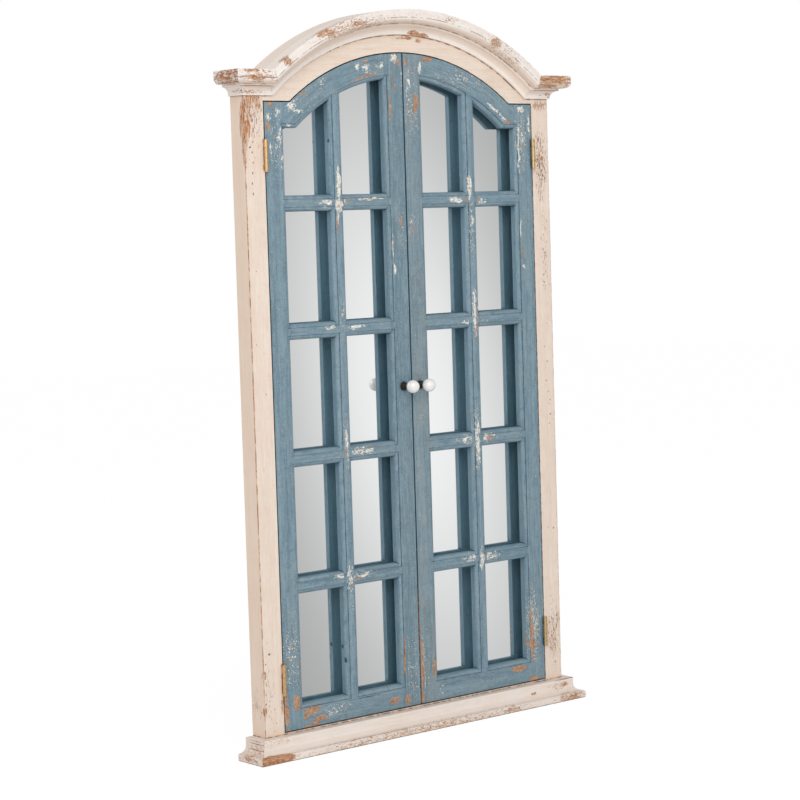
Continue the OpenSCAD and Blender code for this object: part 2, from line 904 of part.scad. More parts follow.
module upright_bar() {
    color(blue) difference() {
        union() {
            intersection() {
                block([bar_x - bar_w / 2, front_y, light_z], [bar_x + bar_w / 2, door_back_y, overall_h]);
                slab(front_y, door_back_y) below_arch_rail(0);
            }
            intersection() {
                bar_tenons(0);
                slab(front_y, door_back_y) below_arch_rail(door_tenon_l - tenon_end_gap);
            }
        }
        lights([0, 1], [0 : bars]);
        lap_back(0);
    }
}

// One bar across the door, with its foot at the top of row r - 1
module cross_bar(r) {
    z1 = row_z(r);
    z0 = z1 - bar_w;
    color(blue) difference() {
        union() {
            block([light_x0, front_y, z0], [light_x1, door_back_y, z1]);
            intersection() {
                stile_tenons(0);
                block([0, front_y, z0], [case_x, door_back_y, z1]);
            }
        }
        block([bar_x - bar_w / 2, front_y - past, z0 - past], [bar_x + bar_w / 2, half_t, z1 + past]);
        lights([0, 1], [r - 1, r]);
    }
}

// ---- Knobs, on the side of +X ----

// Turns a flat shape (radius, distance in front of the door) about a knob's axis
module knob_turned() {
    translate([knob_x, front_y, knob_z]) rotate([90, 0, 0]) rotate_extrude() children();
}

module knob() {
    hole_r = bolt_r + bolt_clear;
    color([0.95, 0.94, 0.92]) knob_turned() difference() {
        intersection() {
            translate([0, ball_front]) circle(ball_r);
            translate([0, neck_l]) square([ball_r, knob_stand]);
        }
        translate([0, neck_l - past]) square([hole_r, bolt_in_ball + past]);
    }
}

// Turned neck: a foot on the stile, a hollow, and a seat for the ball
module knob_neck() {
    hole_r = bolt_r + bolt_clear;
    waist_z = neck_l - neck_waist_h / 2;
    color([0.16, 0.12, 0.10]) knob_turned() difference() {
        translate([hole_r, 0]) polygon([
            [0, 0],
            [neck_foot_r - hole_r, 0],
            [neck_foot_r - hole_r, neck_foot_h],
            [neck_r - hole_r, neck_l - neck_waist_h],
            [neck_r - hole_r, neck_l],
            [0, neck_l]
        ]);
        translate([neck_r + neck_waist_h / 2 - neck_waist_in, waist_z]) circle(neck_waist_h / 2);
    }
}

module knob_bolt() {
    color(steel) translate([knob_x, door_back_y, knob_z]) rotate([90, 0, 0]) {
        cylinder(r = bolt_r, h = door_t + neck_l + bolt_in_ball - bolt_end_gap);
        translate([0, 0, -bolt_head_h]) cylinder(r = bolt_head_r, h = bolt_head_h);
    }
}

// ---- The nodes ----

on_left() jamb();  // left_jamb
jamb();  // right_jamb
head_rail();
bottom_rail();
crown_arch();
on_left() crown_ear();  // left_crown_ear
crown_ear();  // right_crown_ear
on_left() crown_return();  // left_crown_return
crown_return();  // right_crown_return
sill_front();
on_left() sill_return();  // left_sill_return
sill_return();  // right_sill_return
mirror_glass();
backboard();
backboard_screws();
hanger_plates();
hanger_screws();
hinge_frame_leaves();
hinge_pins();
hinge_frame_screws();
catch_magnets();

on_left() hinge_stile();  // left_hinge_stile
on_left() meeting_stile();  // left_meeting_stile
on_left() arch_rail();  // left_arch_rail
on_left() door_bottom_rail();  // left_bottom_rail
on_left() upright_bar();  // left_upright_bar
on_left() cross_bar(1);  // left_cross_bar_1
on_left() cross_bar(2);  // left_cross_bar_2
on_left() cross_bar(3);  // left_cross_bar_3
on_left() cross_bar(4);  // left_cross_bar_4
on_left() knob();  // left_knob
on_left() knob_neck();  // left_knob_neck
on_left() knob_bolt();  // left_knob_bolt
on_left() hinge_leaves();  // left_hinge_leaves
on_left() hinge_screws();  // left_hinge_screws
on_left() catch_strike();  // left_catch_strike

hinge_stile();  // right_hinge_stile
meeting_stile();  // right_meeting_stile
arch_rail();  // right_arch_rail
door_bottom_rail();  // right_bottom_rail
upright_bar();  // right_upright_bar
cross_bar(1);  // right_cross_bar_1
cross_bar(2);  // right_cross_bar_2
cross_bar(3);  // right_cross_bar_3
cross_bar(4);  // right_cross_bar_4
knob();  // right_knob
knob_neck();  // right_knob_neck
knob_bolt();  // right_knob_bolt
hinge_leaves();  // right_hinge_leaves
hinge_screws();  // right_hinge_screws
catch_strike();  // right_catch_strike
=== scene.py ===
import bpy
import bmesh
import json
import math
from mathutils import Matrix, Vector

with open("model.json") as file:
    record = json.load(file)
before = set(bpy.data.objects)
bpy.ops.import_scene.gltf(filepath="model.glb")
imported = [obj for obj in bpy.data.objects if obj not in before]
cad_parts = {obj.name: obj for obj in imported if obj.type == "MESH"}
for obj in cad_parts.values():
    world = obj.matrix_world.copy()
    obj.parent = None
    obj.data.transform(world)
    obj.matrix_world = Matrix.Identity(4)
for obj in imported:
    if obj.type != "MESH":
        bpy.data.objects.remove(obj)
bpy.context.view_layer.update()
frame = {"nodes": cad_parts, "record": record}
print("model loaded:", len(frame["nodes"]), "nodes")

mm = 0.001
archMiddleZ = 0.759     # height of the point that the arches are drawn round
archReach = 0.44        # radius used to turn an angle on the arch into a length


# node helpers

def addNode(tree, kind, **values):
    made = tree.nodes.new("ShaderNode" + kind)
    count = len(tree.nodes)
    made.location = (count % 14 * 190, -(count // 14) * 260)
    for key, value in values.items():
        setattr(made, key, value)
    return made


def plug(tree, socket, value):
    if isinstance(value, bpy.types.NodeSocket):
        tree.links.new(value, socket)
    elif value is not None:
        socket.default_value = value


def calc(tree, operation, a, b=None, c=None, clamp=False):
    made = addNode(tree, "Math", operation=operation, use_clamp=clamp)
    for socket, value in zip(made.inputs, (a, b, c)):
        plug(tree, socket, value)
    return made.outputs[0]


def longSide(tree, a, b):
    squares = calc(tree, "ADD", calc(tree, "MULTIPLY", a, a), calc(tree, "MULTIPLY", b, b))
    return calc(tree, "SQRT", squares)


def vectorCalc(tree, operation, a, b=None):
    made = addNode(tree, "VectorMath", operation=operation)
    plug(tree, made.inputs[0], a)
    plug(tree, made.inputs[1], b)
    return made.outputs["Value"] if operation in ("LENGTH", "DOT_PRODUCT") else made.outputs["Vector"]


def spread(tree, value, low, high, toLow=0.0, toHigh=1.0, smooth=True):
    made = addNode(tree, "MapRange", interpolation_type="SMOOTHSTEP" if smooth else "LINEAR")
    for name, item in (("Value", value), ("From Min", low), ("From Max", high),
                       ("To Min", toLow), ("To Max", toHigh)):
        plug(tree, made.inputs[name], item)
    return made.outputs["Result"]


def blendColour(tree, amount, a, b):
    made = addNode(tree, "Mix", data_type="RGBA", clamp_factor=True)
    plug(tree, made.inputs[0], amount)
    plug(tree, made.inputs[6], tuple(a) + (1,) if isinstance(a, (tuple, list)) else a)
    plug(tree, made.inputs[7], tuple(b) + (1,) if isinstance(b, (tuple, list)) else b)
    return made.outputs[2]


def cloudNoise(tree, place, scale, detail=3.0, rough=0.5, stretch=0.0):
    made = addNode(tree, "TexNoise", noise_dimensions="3D")
    plug(tree, made.inputs["Vector"], place)
    for name, value in (("Scale", scale), ("Detail", detail), ("Roughness", rough), ("Distortion", stretch)):
        plug(tree, made.inputs[name], value)
    return made.outputs["Fac"]


def raiseSurface(tree, shader, height, strength, depth):
    bump = addNode(tree, "Bump")
    bump.inputs["Strength"].default_value = strength
    bump.inputs["Distance"].default_value = depth
    plug(tree, bump.inputs["Height"], height)
    plug(tree, shader.inputs["Normal"], bump.outputs[0])


def newMaterial(name):
    made = bpy.data.materials.new(name)
    made.use_nodes = True
    tree = made.node_tree
    return made, tree, tree.nodes["Principled BSDF"]


def srgb(r, g, b):
    return tuple(((v / 255 + 0.055) / 1.055) ** 2.4 if v > 10 else v / 3294.6 for v in (r, g, b))


# place along the wood's run, drawn out so that noise read there makes long fibres
def grainPlace(tree, place, run, draw=0.07):
    if run == "arch":
        parts = addNode(tree, "SeparateXYZ")
        plug(tree, parts.inputs[0], place)
        up = calc(tree, "SUBTRACT", parts.outputs["Z"], archMiddleZ)
        angle = calc(tree, "ARCTAN2", parts.outputs["X"], up)
        reach = longSide(tree, up, parts.outputs["X"])
        joined = addNode(tree, "CombineXYZ")
        plug(tree, joined.inputs[0], calc(tree, "MULTIPLY", angle, archReach * draw))
        plug(tree, joined.inputs[1], parts.outputs["Y"])
        plug(tree, joined.inputs[2], reach)
        return joined.outputs[0]
    scale = {"up": (1, 1, draw), "across": (draw, 1, 1), "deep": (1, draw, 1)}[run]
    return vectorCalc(tree, "MULTIPLY", place, scale)


# soft ellipsoids, 1 in the middle and 0 at the rim; places and half sizes in mm
def wearSpots(tree, place, spots):
    total = None
    for x, y, z, rx, ry, rz, strength in spots:
        away = vectorCalc(tree, "SUBTRACT", place, (x * mm, y * mm, z * mm))
        away = vectorCalc(tree, "DIVIDE", away, (rx * mm, ry * mm, rz * mm))
        near = calc(tree, "SUBTRACT", 1.0, vectorCalc(tree, "LENGTH", away), clamp=True)
        near = calc(tree, "MULTIPLY", calc(tree, "SQRT", near), strength)
        total = near if total is None else calc(tree, "MAXIMUM", total, near)
    return 0.0 if total is None else total


# thin lines that follow the arch: radius, depth, width in mm, strength
def archLines(tree, place, lines):
    parts = addNode(tree, "SeparateXYZ")
    plug(tree, parts.inputs[0], place)
    up = calc(tree, "SUBTRACT", parts.outputs["Z"], archMiddleZ)
    reach = longSide(tree, up, parts.outputs["X"])
    total = None
    for radius, depth, width, strength in lines:
        out = calc(tree, "SUBTRACT", reach, radius * mm)
        back = calc(tree, "SUBTRACT", parts.outputs["Y"], depth * mm)
        away = calc(tree, "DIVIDE", longSide(tree, out, back), width * mm)
        near = calc(tree, "SUBTRACT", 1.0, away, clamp=True)
        near = calc(tree, "MULTIPLY", calc(tree, "SQRT", near), strength)
        total = near if total is None else calc(tree, "MAXIMUM", total, near)
    return total


# a row of small spots that follows the arch between two angles from its top, in degrees
def alongArch(radius, start, end, count, sizes, strength):
    row = []
    for step in range(count):
        angle = math.radians(start + (end - start) * step / (count - 1))
        across = radius * math.sin(angle)
        height = archMiddleZ / mm + radius * math.cos(angle)
        row.append((across, 0, height, *sizes, strength))
    return row


# painted wood

def woodShades(tree, grain, look):
    rings = cloudNoise(tree, grain, 300, 4, 0.62, 0.6)
    fibres = cloudNoise(tree, grain, 1100, 2, 0.5)
    tone = calc(tree, "ADD", calc(tree, "MULTIPLY", rings, 0.75), calc(tree, "MULTIPLY", fibres, 0.35))
    return blendColour(tree, spread(tree, tone, 0.42, 0.66), look["woodDark"], look["woodLight"]), fibres


# round dots one to a cell, larger where the field is stronger; the second value is random in each cell
def scatteredDots(tree, place, field, look):
    cells = addNode(tree, "TexVoronoi")
    plug(tree, cells.inputs["Vector"], place)
    cells.inputs["Scale"].default_value = look["rainScale"]
    chance = addNode(tree, "SeparateColor")
    plug(tree, chance.inputs[0], cells.outputs["Color"])
    reach = calc(tree, "MULTIPLY", calc(tree, "MULTIPLY", field, look["rainSize"]),
                 calc(tree, "MULTIPLY_ADD", chance.outputs[1], 0.7, 0.45))
    dots = spread(tree, cells.outputs["Distance"], reach, calc(tree, "MULTIPLY", reach, 0.7))
    return calc(tree, "MULTIPLY", dots, calc(tree, "GREATER_THAN", field, 0.05)), chance.outputs[0]


# the paint itself: brush marks, clouds, streaks along the wood, fine dust, painted shading on sides, backs
# and undersides, painted shade in hollows, and dirt with painted shade in the corners and creases
def paintShades(tree, look, noises, masks):
    paint = blendColour(tree, spread(tree, noises["cloud"], 0.3, 0.7), look["paint"], look["paintOther"])
    for source, low, high, amount, colour in (
            ("streak", 0.50, 0.66, "streakMix", "streakDeep"),
            ("streak", 0.48, 0.34, "streakMix", "streakPale"),
            ("brush", 0.40, 0.68, "brushMix", "paintPale"),
            ("brush", 0.46, 0.28, "brushMix", "streakDeep"),
            ("patchy", 0.52, 0.72, "patchMix", "paintDeep"),
            ("grainy", 0.56, 0.66, "dust", "dustColour"),
            ("grainy", 0.43, 0.33, "dust", "paintDeep")):
        strength = calc(tree, "MULTIPLY", spread(tree, noises[source], low, high), look[amount])
        paint = blendColour(tree, strength, paint, look[colour])
    # painted shading by which way a face turns, painted shade in hollows, and dirt with painted shade in
    # corners
    for mask, amount, colour in (
            ("side", "sideShadingMix", "sideShadingTint"),
            ("back", "backShadeMix", "backShadeTint"),
            ("under", "undersideShadeMix", "undersideShadeTint"),
            ("shadedHollow", "hollowShadeMix", "hollowShadeTint"),
            ("corner", "dirtAndShade", "dirtAndShadeColour")):
        if amount in look:
            strength = calc(tree, "MULTIPLY", masks[mask], look[amount])
            paint = blendColour(tree, strength, paint, look[colour])
    return blendColour(tree, masks["crease"], paint, look["creaseColour"])


# shared by every painted piece: reaches and depths in metres
brushwork = {
    "wanderScale": 55, "streakDraw": 0.028, "edgeRays": 4, "hollowReach": 0.010, "hollowRays": 6,
    "nookRays": 10, "wallRim": (33.0 * mm, 34.5 * mm), "specular": 0.35, "roughSwing": 0.07,
    "chipRough": 0.14,
    "bump": 0.8, "bumpDepth": 0.001, "chipDepth": -0.28, "brushHeight": 0.22, "fibreHeight": 0.10,
    "patchHeight": 0.25,
}


# wear: chips go down to the coat below, bare places to the wood, rubbed ones follow an arris exactly,
# lines are dark cracks and knots, specks are crumbs, and rain is a scatter of round dots
def paintedWood(name, look, run, wear, flakeDraw=None):
    material, tree, shader = newMaterial(name)
    place = addNode(tree, "TexCoord").outputs["Object"]
    wander = addNode(tree, "TexNoise")
    plug(tree, wander.inputs["Vector"], place)
    wander.inputs["Scale"].default_value = brushwork["wanderScale"]
    wander.inputs["Detail"].default_value = 4
    shift = vectorCalc(tree, "SUBTRACT", wander.outputs["Color"], (0.5, 0.5, 0.5))
    loose = vectorCalc(tree, "ADD", place, vectorCalc(tree, "MULTIPLY", shift, (look["wander"],) * 3))
    grain = grainPlace(tree, place, run)
    flakePlace = grainPlace(tree, loose, run, flakeDraw or look["flakeDraw"])
    noises = {
        "brush": cloudNoise(tree, grain, 330, 4, 0.6),
        "cloud": cloudNoise(tree, place, 16, 3, 0.55),
        "patchy": cloudNoise(tree, place, 75, 4, 0.6),
        "flake": cloudNoise(tree, flakePlace, look["flakeScale"], 8, 0.74),
        "grit": cloudNoise(tree, flakePlace, 640, 4, 0.65),
        "crumb": cloudNoise(tree, flakePlace, 400, 3, 0.55),
        "grainy": cloudNoise(tree, loose, 560, 3, 0.6),
        "streak": cloudNoise(tree, grainPlace(tree, loose, run, brushwork["streakDraw"]), 130, 3, 0.55),
    }
    brush, patchy, flake, grit, crumb = (noises[key] for key in ("brush", "patchy", "flake", "grit", "crumb"))

    def spotsOf(kind, at=loose):
        return wearSpots(tree, at, wear.get(kind, ()))

    # worn arrises: the surface's own normal against the one averaged round it
    rounded = addNode(tree, "Bevel", samples=brushwork["edgeRays"])
    rounded.inputs["Radius"].default_value = look["edgeReach"]
    faceNormal = addNode(tree, "NewGeometry").outputs["True Normal"]
    edge = calc(tree, "SUBTRACT", 1.0, vectorCalc(tree, "DOT_PRODUCT", rounded.outputs[0], faceNormal))
    edge = spread(tree, edge, 0.015, 0.2)
    hollow = addNode(tree, "AmbientOcclusion", samples=brushwork["hollowRays"])
    hollow.inputs["Distance"].default_value = brushwork["hollowReach"]
    outer = calc(tree, "MULTIPLY", edge, spread(tree, hollow.outputs["AO"], 0.72, 0.97))
    # dark creases found by short-reach occlusion: dirt in the cracks, and painted shade there too
    nook = addNode(tree, "AmbientOcclusion", samples=brushwork["nookRays"])
    nook.inputs["Distance"].default_value = look["creaseReach"]
    clear = spread(tree, nook.outputs["AO"], look["creaseFrom"], look["creaseTo"])
    crease = calc(tree, "SUBTRACT", 1.0, clear)
    filled = spread(tree, patchy, 0.44, 0.56, look["creaseLow"], look["crease"])
    crease = calc(tree, "MULTIPLY", crease, filled)
    # the way a face looks on the closed piece, so that the paint, with the shading painted by which way a
    # face turns, stays as it is when a door swings
    facing = addNode(tree, "VectorTransform", vector_type="NORMAL", convert_from="WORLD", convert_to="OBJECT")
    plug(tree, facing.inputs[0], faceNormal)
    turned = addNode(tree, "SeparateXYZ")
    plug(tree, turned.inputs[0], facing.outputs[0])
    toMiddle = vectorCalc(tree, "NORMALIZE", vectorCalc(tree, "SUBTRACT", (0, 0, archMiddleZ), place))

    noisy = calc(tree, "ADD", calc(tree, "MULTIPLY", calc(tree, "SUBTRACT", flake, 0.5), look["flakeMix"]),
                 calc(tree, "MULTIPLY", calc(tree, "SUBTRACT", grit, 0.5), look["gritMix"]))
    lineField = calc(tree, "MULTIPLY_ADD", noisy, 0.45, spotsOf("lines", place))
    if "archLines" in wear:
        broken = spread(tree, patchy, 0.38, 0.60, 0.6, 1.0)
        drawn = calc(tree, "MULTIPLY", archLines(tree, place, wear["archLines"]), broken)
        lineField = calc(tree, "MAXIMUM", lineField, calc(tree, "MULTIPLY_ADD", noisy, 0.2, drawn))
    masks = {
        # dirt and painted shade in corners: darker where other surfaces close in round a face
        "corner": calc(tree, "SUBTRACT", 1.0, spread(tree, hollow.outputs["AO"], 0.10, 0.62)),
        # painted shade in hollows: a warm or teal tint where nearby surfaces occlude a face
        "shadedHollow": spread(tree, hollow.outputs["AO"], 0.98, 0.55),
        # painted shading on faces turned sideways, up or down rather than to the front or back
        "side": spread(tree, calc(tree, "ABSOLUTE", turned.outputs["Y"]), 0.55, 0.15),
        # painted shade colour on faces towards the wall: teal, as they look shaded in the mirror
        "back": spread(tree, turned.outputs["Y"], 0.5, 0.8),
        # painted shade on undersides: a warm tint on faces turned down and in towards the arch's middle
        "under": spread(tree, vectorCalc(tree, "DOT_PRODUCT", toMiddle, facing.outputs[0]), 0.18, 0.55),
        "crease": calc(tree, "MAXIMUM", crease, spread(tree, lineField, 0.40, 0.60, 0.0, 0.85)),
    }
    edgeWear = calc(tree, "MULTIPLY", outer, calc(tree, "MULTIPLY_ADD", patchy, 1.6, look["edgeBias"]))
    chipField = calc(tree, "MAXIMUM", spotsOf("chips"), edgeWear)
    chipField = calc(tree, "ADD", chipField, noisy)
    chipField = calc(tree, "ADD", chipField, calc(tree, "MULTIPLY", noises["cloud"], 0.3))
    chipMask = spread(tree, chipField, look["chipAt"], look["chipAt"] + 0.08)
    ragged = calc(tree, "MULTIPLY_ADD", noisy, look["bareMix"], 1.0)
    bareField = calc(tree, "MULTIPLY", spotsOf("bare"), ragged)
    bareMask = spread(tree, bareField, 0.46, 0.54)
    rubField = calc(tree, "ADD", spotsOf("rubbed", place), calc(tree, "MULTIPLY", noisy, 0.35))
    bareMask = calc(tree, "MAXIMUM", bareMask, spread(tree, rubField, 0.42, 0.56))
    speckField = calc(tree, "ADD", spotsOf("specks"), look["speckBase"])
    speckMask = spread(tree, calc(tree, "ADD", grit, calc(tree, "MULTIPLY", speckField, 0.30)), 0.72, 0.75)

    # wood shows with crumbs of paint left on it
    wood, fibres = woodShades(tree, grain, look)
    crumbs = calc(tree, "MULTIPLY", spread(tree, crumb, 0.50, 0.56), look["crumbs"])
    wood = blendColour(tree, crumbs, wood, look["primer"])
    burnt = calc(tree, "MULTIPLY", spread(tree, crumb, 0.42, 0.34), look["burnt"])
    wood = blendColour(tree, burnt, wood, look["burntColour"])
    paint = paintShades(tree, look, noises, masks)
    under = blendColour(tree, spread(tree, crumb, 0.40, 0.60), look["primer"], look["primerOther"])
    bareAll = calc(tree, "MAXIMUM", bareMask, calc(tree, "MULTIPLY", chipMask, look["chipToWood"]))
    chipsAll = calc(tree, "MAXIMUM", calc(tree, "MAXIMUM", chipMask, speckMask), bareMask)
    speckled = blendColour(tree, spread(tree, patchy, 0.40, 0.60), look["speck"], look["speckOther"])
    shown = blendColour(tree, speckMask, paint, speckled)
    if "rain" in wear:
        dots, chance = scatteredDots(tree, loose, spotsOf("rain"), look)
        dotColour = blendColour(tree, spread(tree, chance, 0.60, 0.64), look["rainColour"], look["rainOther"])
        shown = blendColour(tree, dots, shown, dotColour)
        chipsAll = calc(tree, "MAXIMUM", chipsAll, dots)
    shown = blendColour(tree, chipMask, shown, under)
    # a chip's heart goes down to the wood
    deep = calc(tree, "MULTIPLY_ADD", calc(tree, "SUBTRACT", crumb, 0.5), look["heartMix"], chipField)
    heart = spread(tree, deep, look["chipAt"] + look["heart"], look["chipAt"] + look["heart"] + 0.05)
    shown = blendColour(tree, calc(tree, "MAXIMUM", bareAll, heart), shown, wood)
    # the side against the wall was never painted, only smeared at its rims
    depth = addNode(tree, "SeparateXYZ")
    plug(tree, depth.inputs[0], place)
    unpainted = calc(tree, "MULTIPLY", spread(tree, turned.outputs["Y"], 0.6, 0.9),
                     spread(tree, depth.outputs["Y"], *brushwork["wallRim"]))
    smeared = spread(tree, calc(tree, "ADD", noises["cloud"], patchy), 0.82, 0.90)
    unpainted = calc(tree, "MULTIPLY", unpainted, smeared)
    rawWood = blendColour(tree, spread(tree, brush, 0.35, 0.65), look["rawDark"], look["rawLight"])
    shown = blendColour(tree, unpainted, shown, rawWood)
    plug(tree, shader.inputs["Base Color"], shown)

    swing = brushwork["roughSwing"]
    rough = spread(tree, brush, 0.2, 0.8, look["rough"] - swing, look["rough"] + swing, smooth=False)
    rough = calc(tree, "MULTIPLY_ADD", chipsAll, brushwork["chipRough"], rough, clamp=True)
    plug(tree, shader.inputs["Roughness"], rough)
    shader.inputs["Specular IOR Level"].default_value = brushwork["specular"]

    height = calc(tree, "MULTIPLY", chipsAll, brushwork["chipDepth"])
    height = calc(tree, "MULTIPLY_ADD", brush, brushwork["brushHeight"], height)
    height = calc(tree, "MULTIPLY_ADD", fibres, brushwork["fibreHeight"], height)
    height = calc(tree, "MULTIPLY_ADD", patchy, brushwork["patchHeight"], height)
    raiseSurface(tree, shader, height, brushwork["bump"], brushwork["bumpDepth"])
    return material


creamLook = {
    "paint": srgb(238, 217, 199), "paintOther": srgb(242, 224, 208), "paintPale": srgb(248, 237, 226),
    "paintDeep": srgb(228, 204, 185), "brushMix": 0.4, "patchMix": 0.35,
    "streakDeep": srgb(230, 207, 187), "streakPale": srgb(247, 233, 219), "streakMix": 0.4,
    "primer": srgb(240, 226, 212), "primerOther": srgb(200, 152, 114),
    "speck": srgb(118, 78, 58), "speckOther": srgb(176, 124, 90),
    "woodLight": srgb(204, 152, 108), "woodDark": srgb(166, 112, 74),
    "chipToWood": 0.8, "heart": 0.2, "heartMix": 0.0,
    "rawLight": srgb(222, 188, 148), "rawDark": srgb(196, 156, 114),
    "crumbs": 0.75, "burnt": 0.75, "burntColour": srgb(126, 82, 58),
    "dust": 0.16, "dustColour": srgb(250, 243, 236),
    # painted shading on side faces, and painted shade in hollows
    "sideShadingTint": srgb(231, 205, 184), "sideShadingMix": 0.55, "hollowShadeTint": srgb(238, 205, 178), "hollowShadeMix": 0.45,
    # dirt and painted shade in the corners
    "dirtAndShade": 0.45, "dirtAndShadeColour": srgb(130, 102, 82), "rough": 0.62,
    "crease": 0.9, "creaseLow": 0.2, "creaseReach": 0.0028, "creaseFrom": 0.60, "creaseTo": 0.93,
    "creaseColour": srgb(104, 76, 58),
    "wander": 0.010, "flakeScale": 300, "flakeDraw": 0.4, "flakeMix": 2.4, "gritMix": 1.5, "bareMix": 1.2,
    "edgeReach": 0.0020, "edgeBias": -0.55, "chipAt": 0.72, "speckBase": 0.03,
    "rainScale": 95, "rainSize": 0.24, "rainColour": srgb(104, 68, 50), "rainOther": srgb(150, 100, 72),
}
blueLook = {
    "paint": srgb(116, 144, 158), "paintOther": srgb(129, 150, 158), "paintPale": srgb(148, 171, 184),
    "paintDeep": srgb(92, 122, 137), "brushMix": 0.5, "patchMix": 0.5,
    "streakDeep": srgb(94, 122, 137), "streakPale": srgb(143, 165, 176), "streakMix": 0.65,
    "primer": srgb(250, 249, 245), "primerOther": srgb(222, 218, 206),
    "speck": srgb(236, 234, 226), "speckOther": srgb(218, 204, 182),
    "woodLight": srgb(197, 150, 108), "woodDark": srgb(168, 116, 78),
    "chipToWood": 0.0, "heart": 0.62, "heartMix": 2.2,
    "rawLight": srgb(222, 188, 148), "rawDark": srgb(196, 156, 114),
    "crumbs": 0.18, "burnt": 0.35, "burntColour": srgb(146, 96, 60),
    "dust": 0.6, "dustColour": srgb(164, 183, 193),
    # painted shading on side faces, and painted shade in hollows
    "sideShadingTint": srgb(101, 133, 149), "sideShadingMix": 0.45, "hollowShadeTint": srgb(62, 112, 138), "hollowShadeMix": 0.5,
    # painted shade colour on the faces towards the wall, seen in the mirror
    "backShadeTint": srgb(101, 155, 178), "backShadeMix": 0.5,
    # dirt and painted shade in the corners, a dark teal
    "dirtAndShade": 0.75, "dirtAndShadeColour": srgb(16, 48, 62), "rough": 0.58,
    "crease": 0.75, "creaseLow": 0.35, "creaseReach": 0.0026, "creaseFrom": 0.70, "creaseTo": 0.97,
    "creaseColour": srgb(40, 58, 66),
    "wander": 0.010, "flakeScale": 280, "flakeDraw": 0.42, "flakeMix": 3.1, "gritMix": 1.2, "bareMix": 1.7,
    "edgeReach": 0.0015, "edgeBias": -0.62, "chipAt": 0.74, "speckBase": 0.05,
    "rainScale": 330, "rainSize": 0.56, "rainColour": srgb(232, 228, 214), "rainOther": srgb(206, 160, 112),
}
# the crown and the sill are whiter, with tan specks; wood shows browner at the crown's ends
crownLook = dict(creamLook, paint=srgb(249, 239, 230), paintOther=srgb(250, 243, 237),
                 paintPale=srgb(252, 248, 244), crumbs=0.42, creaseColour=srgb(142, 114, 94),
                 # painted shading on side faces, in hollows and on undersides
                 streakDeep=srgb(238, 222, 208), paintDeep=srgb(236, 218, 202), sideShadingTint=srgb(238, 225, 217),
                 hollowShadeTint=srgb(246, 226, 208), hollowShadeMix=0.4, undersideShadeTint=srgb(241, 217, 198), undersideShadeMix=0.75,
                 speck=srgb(190, 136, 98), speckOther=srgb(214, 168, 128))
crownEndLook = dict(crownLook, woodLight=srgb(178, 124, 92), woodDark=srgb(146, 98, 74), crumbs=0.62,
                    speck=srgb(134, 90, 70), speckOther=srgb(176, 128, 98))
sillLook = dict(crownLook, paint=srgb(245, 229, 216), paintOther=srgb(247, 235, 226),
                # painted shading on side faces and undersides
                sideShadingTint=srgb(224, 208, 197), undersideShadeTint=srgb(222, 206, 194), undersideShadeMix=0.45,
                woodLight=srgb(198, 144, 102), woodDark=srgb(166, 112, 76),
                crumbs=0.25, burnt=0.4)
# the line at the crown's foot comes in long dashes
headLook = dict(creamLook, creaseFrom=0.66, creaseTo=0.975, creaseLow=0.15, creaseColour=srgb(108, 80, 62),
                # painted light on side faces, lighter here so that the rail's top shows whiter
                sideShadingTint=srgb(238, 225, 216), speck=srgb(196, 156, 132), speckOther=srgb(214, 184, 162))
jambLook = dict(creamLook, woodLight=srgb(200, 142, 94), woodDark=srgb(164, 106, 66), crumbs=0.6)
leftMeetingLook = dict(blueLook, paint=srgb(110, 136, 148), paintOther=srgb(120, 141, 150))
# the right meeting stile is greyer
rightMeetingLook = dict(blueLook, paint=srgb(120, 145, 158), paintOther=srgb(138, 150, 154),
                        streakDeep=srgb(104, 125, 134), streakPale=srgb(156, 166, 166),
                        paintDeep=srgb(112, 126, 131),
                        speckOther=srgb(196, 158, 118), speckBase=0.10)
uprightLook = dict(blueLook, paint=srgb(122, 149, 163), paintOther=srgb(132, 154, 164))

# each spot: middle x, y, z, half sizes x, y, z, strength
jambWear = {
    "chips": [(-328, 0, 1032, 11, 14, 44, 1.5), (-316, 0, 1066, 24, 14, 14, 1.05),
              (-331, 0, 986, 5, 10, 32, 1.15), (-305, 0, 1056, 12, 12, 10, .8),
              (302, 0, 1062, 7, 12, 7, .9), (-294, 0, 90, 6, 12, 26, .95), (-330, 0, 140, 5, 8, 8, 1.0),
              (-330, 0, 82, 5, 9, 12, 1.0), (-332, 20, 92, 6, 16, 34, .5),
              (312, 0, 1060, 22, 14, 12, .75), (314, 0, 107, 16, 14, 46, .65),
              (299, 0, 991, 4, 9, 14, .85), (327, 0, 146, 8, 12, 22, .75)],
    "rubbed": [(-331.5, 0, 560, 1.7, 1.7, 900, .95), (331.5, 0, 560, 1.5, 1.5, 900, .75)],
    "specks": [(312, 0, 956, 20, 14, 80, .8), (317, 0, 800, 14, 12, 120, .5), (314, 0, 120, 18, 14, 80, .7),
               (-316, 0, 1040, 26, 14, 60, .7), (-322, 0, 120, 14, 14, 90, .45)],
    "rain": [(-317, 0, 930, 9, 12, 190, .95), (-314, 0, 560, 16, 12, 300, .55),
             (-318, 0, 120, 16, 14, 110, .95), (-331, 20, 110, 8, 20, 90, .8),
             (316, 0, 500, 14, 14, 560, .7)],
    "lines": [(-331.5, 0, 1010, 1.6, 2.4, 70, .9), (-331, 20, 92, 3, 1.2, 26, .7)]
             + [(-315.5 - step * 0.6 + step * 5 % 3, 0, 1031 - step * 16.5, 1.5, 3, 2.6, 1.0)
                for step in range(8)],
}
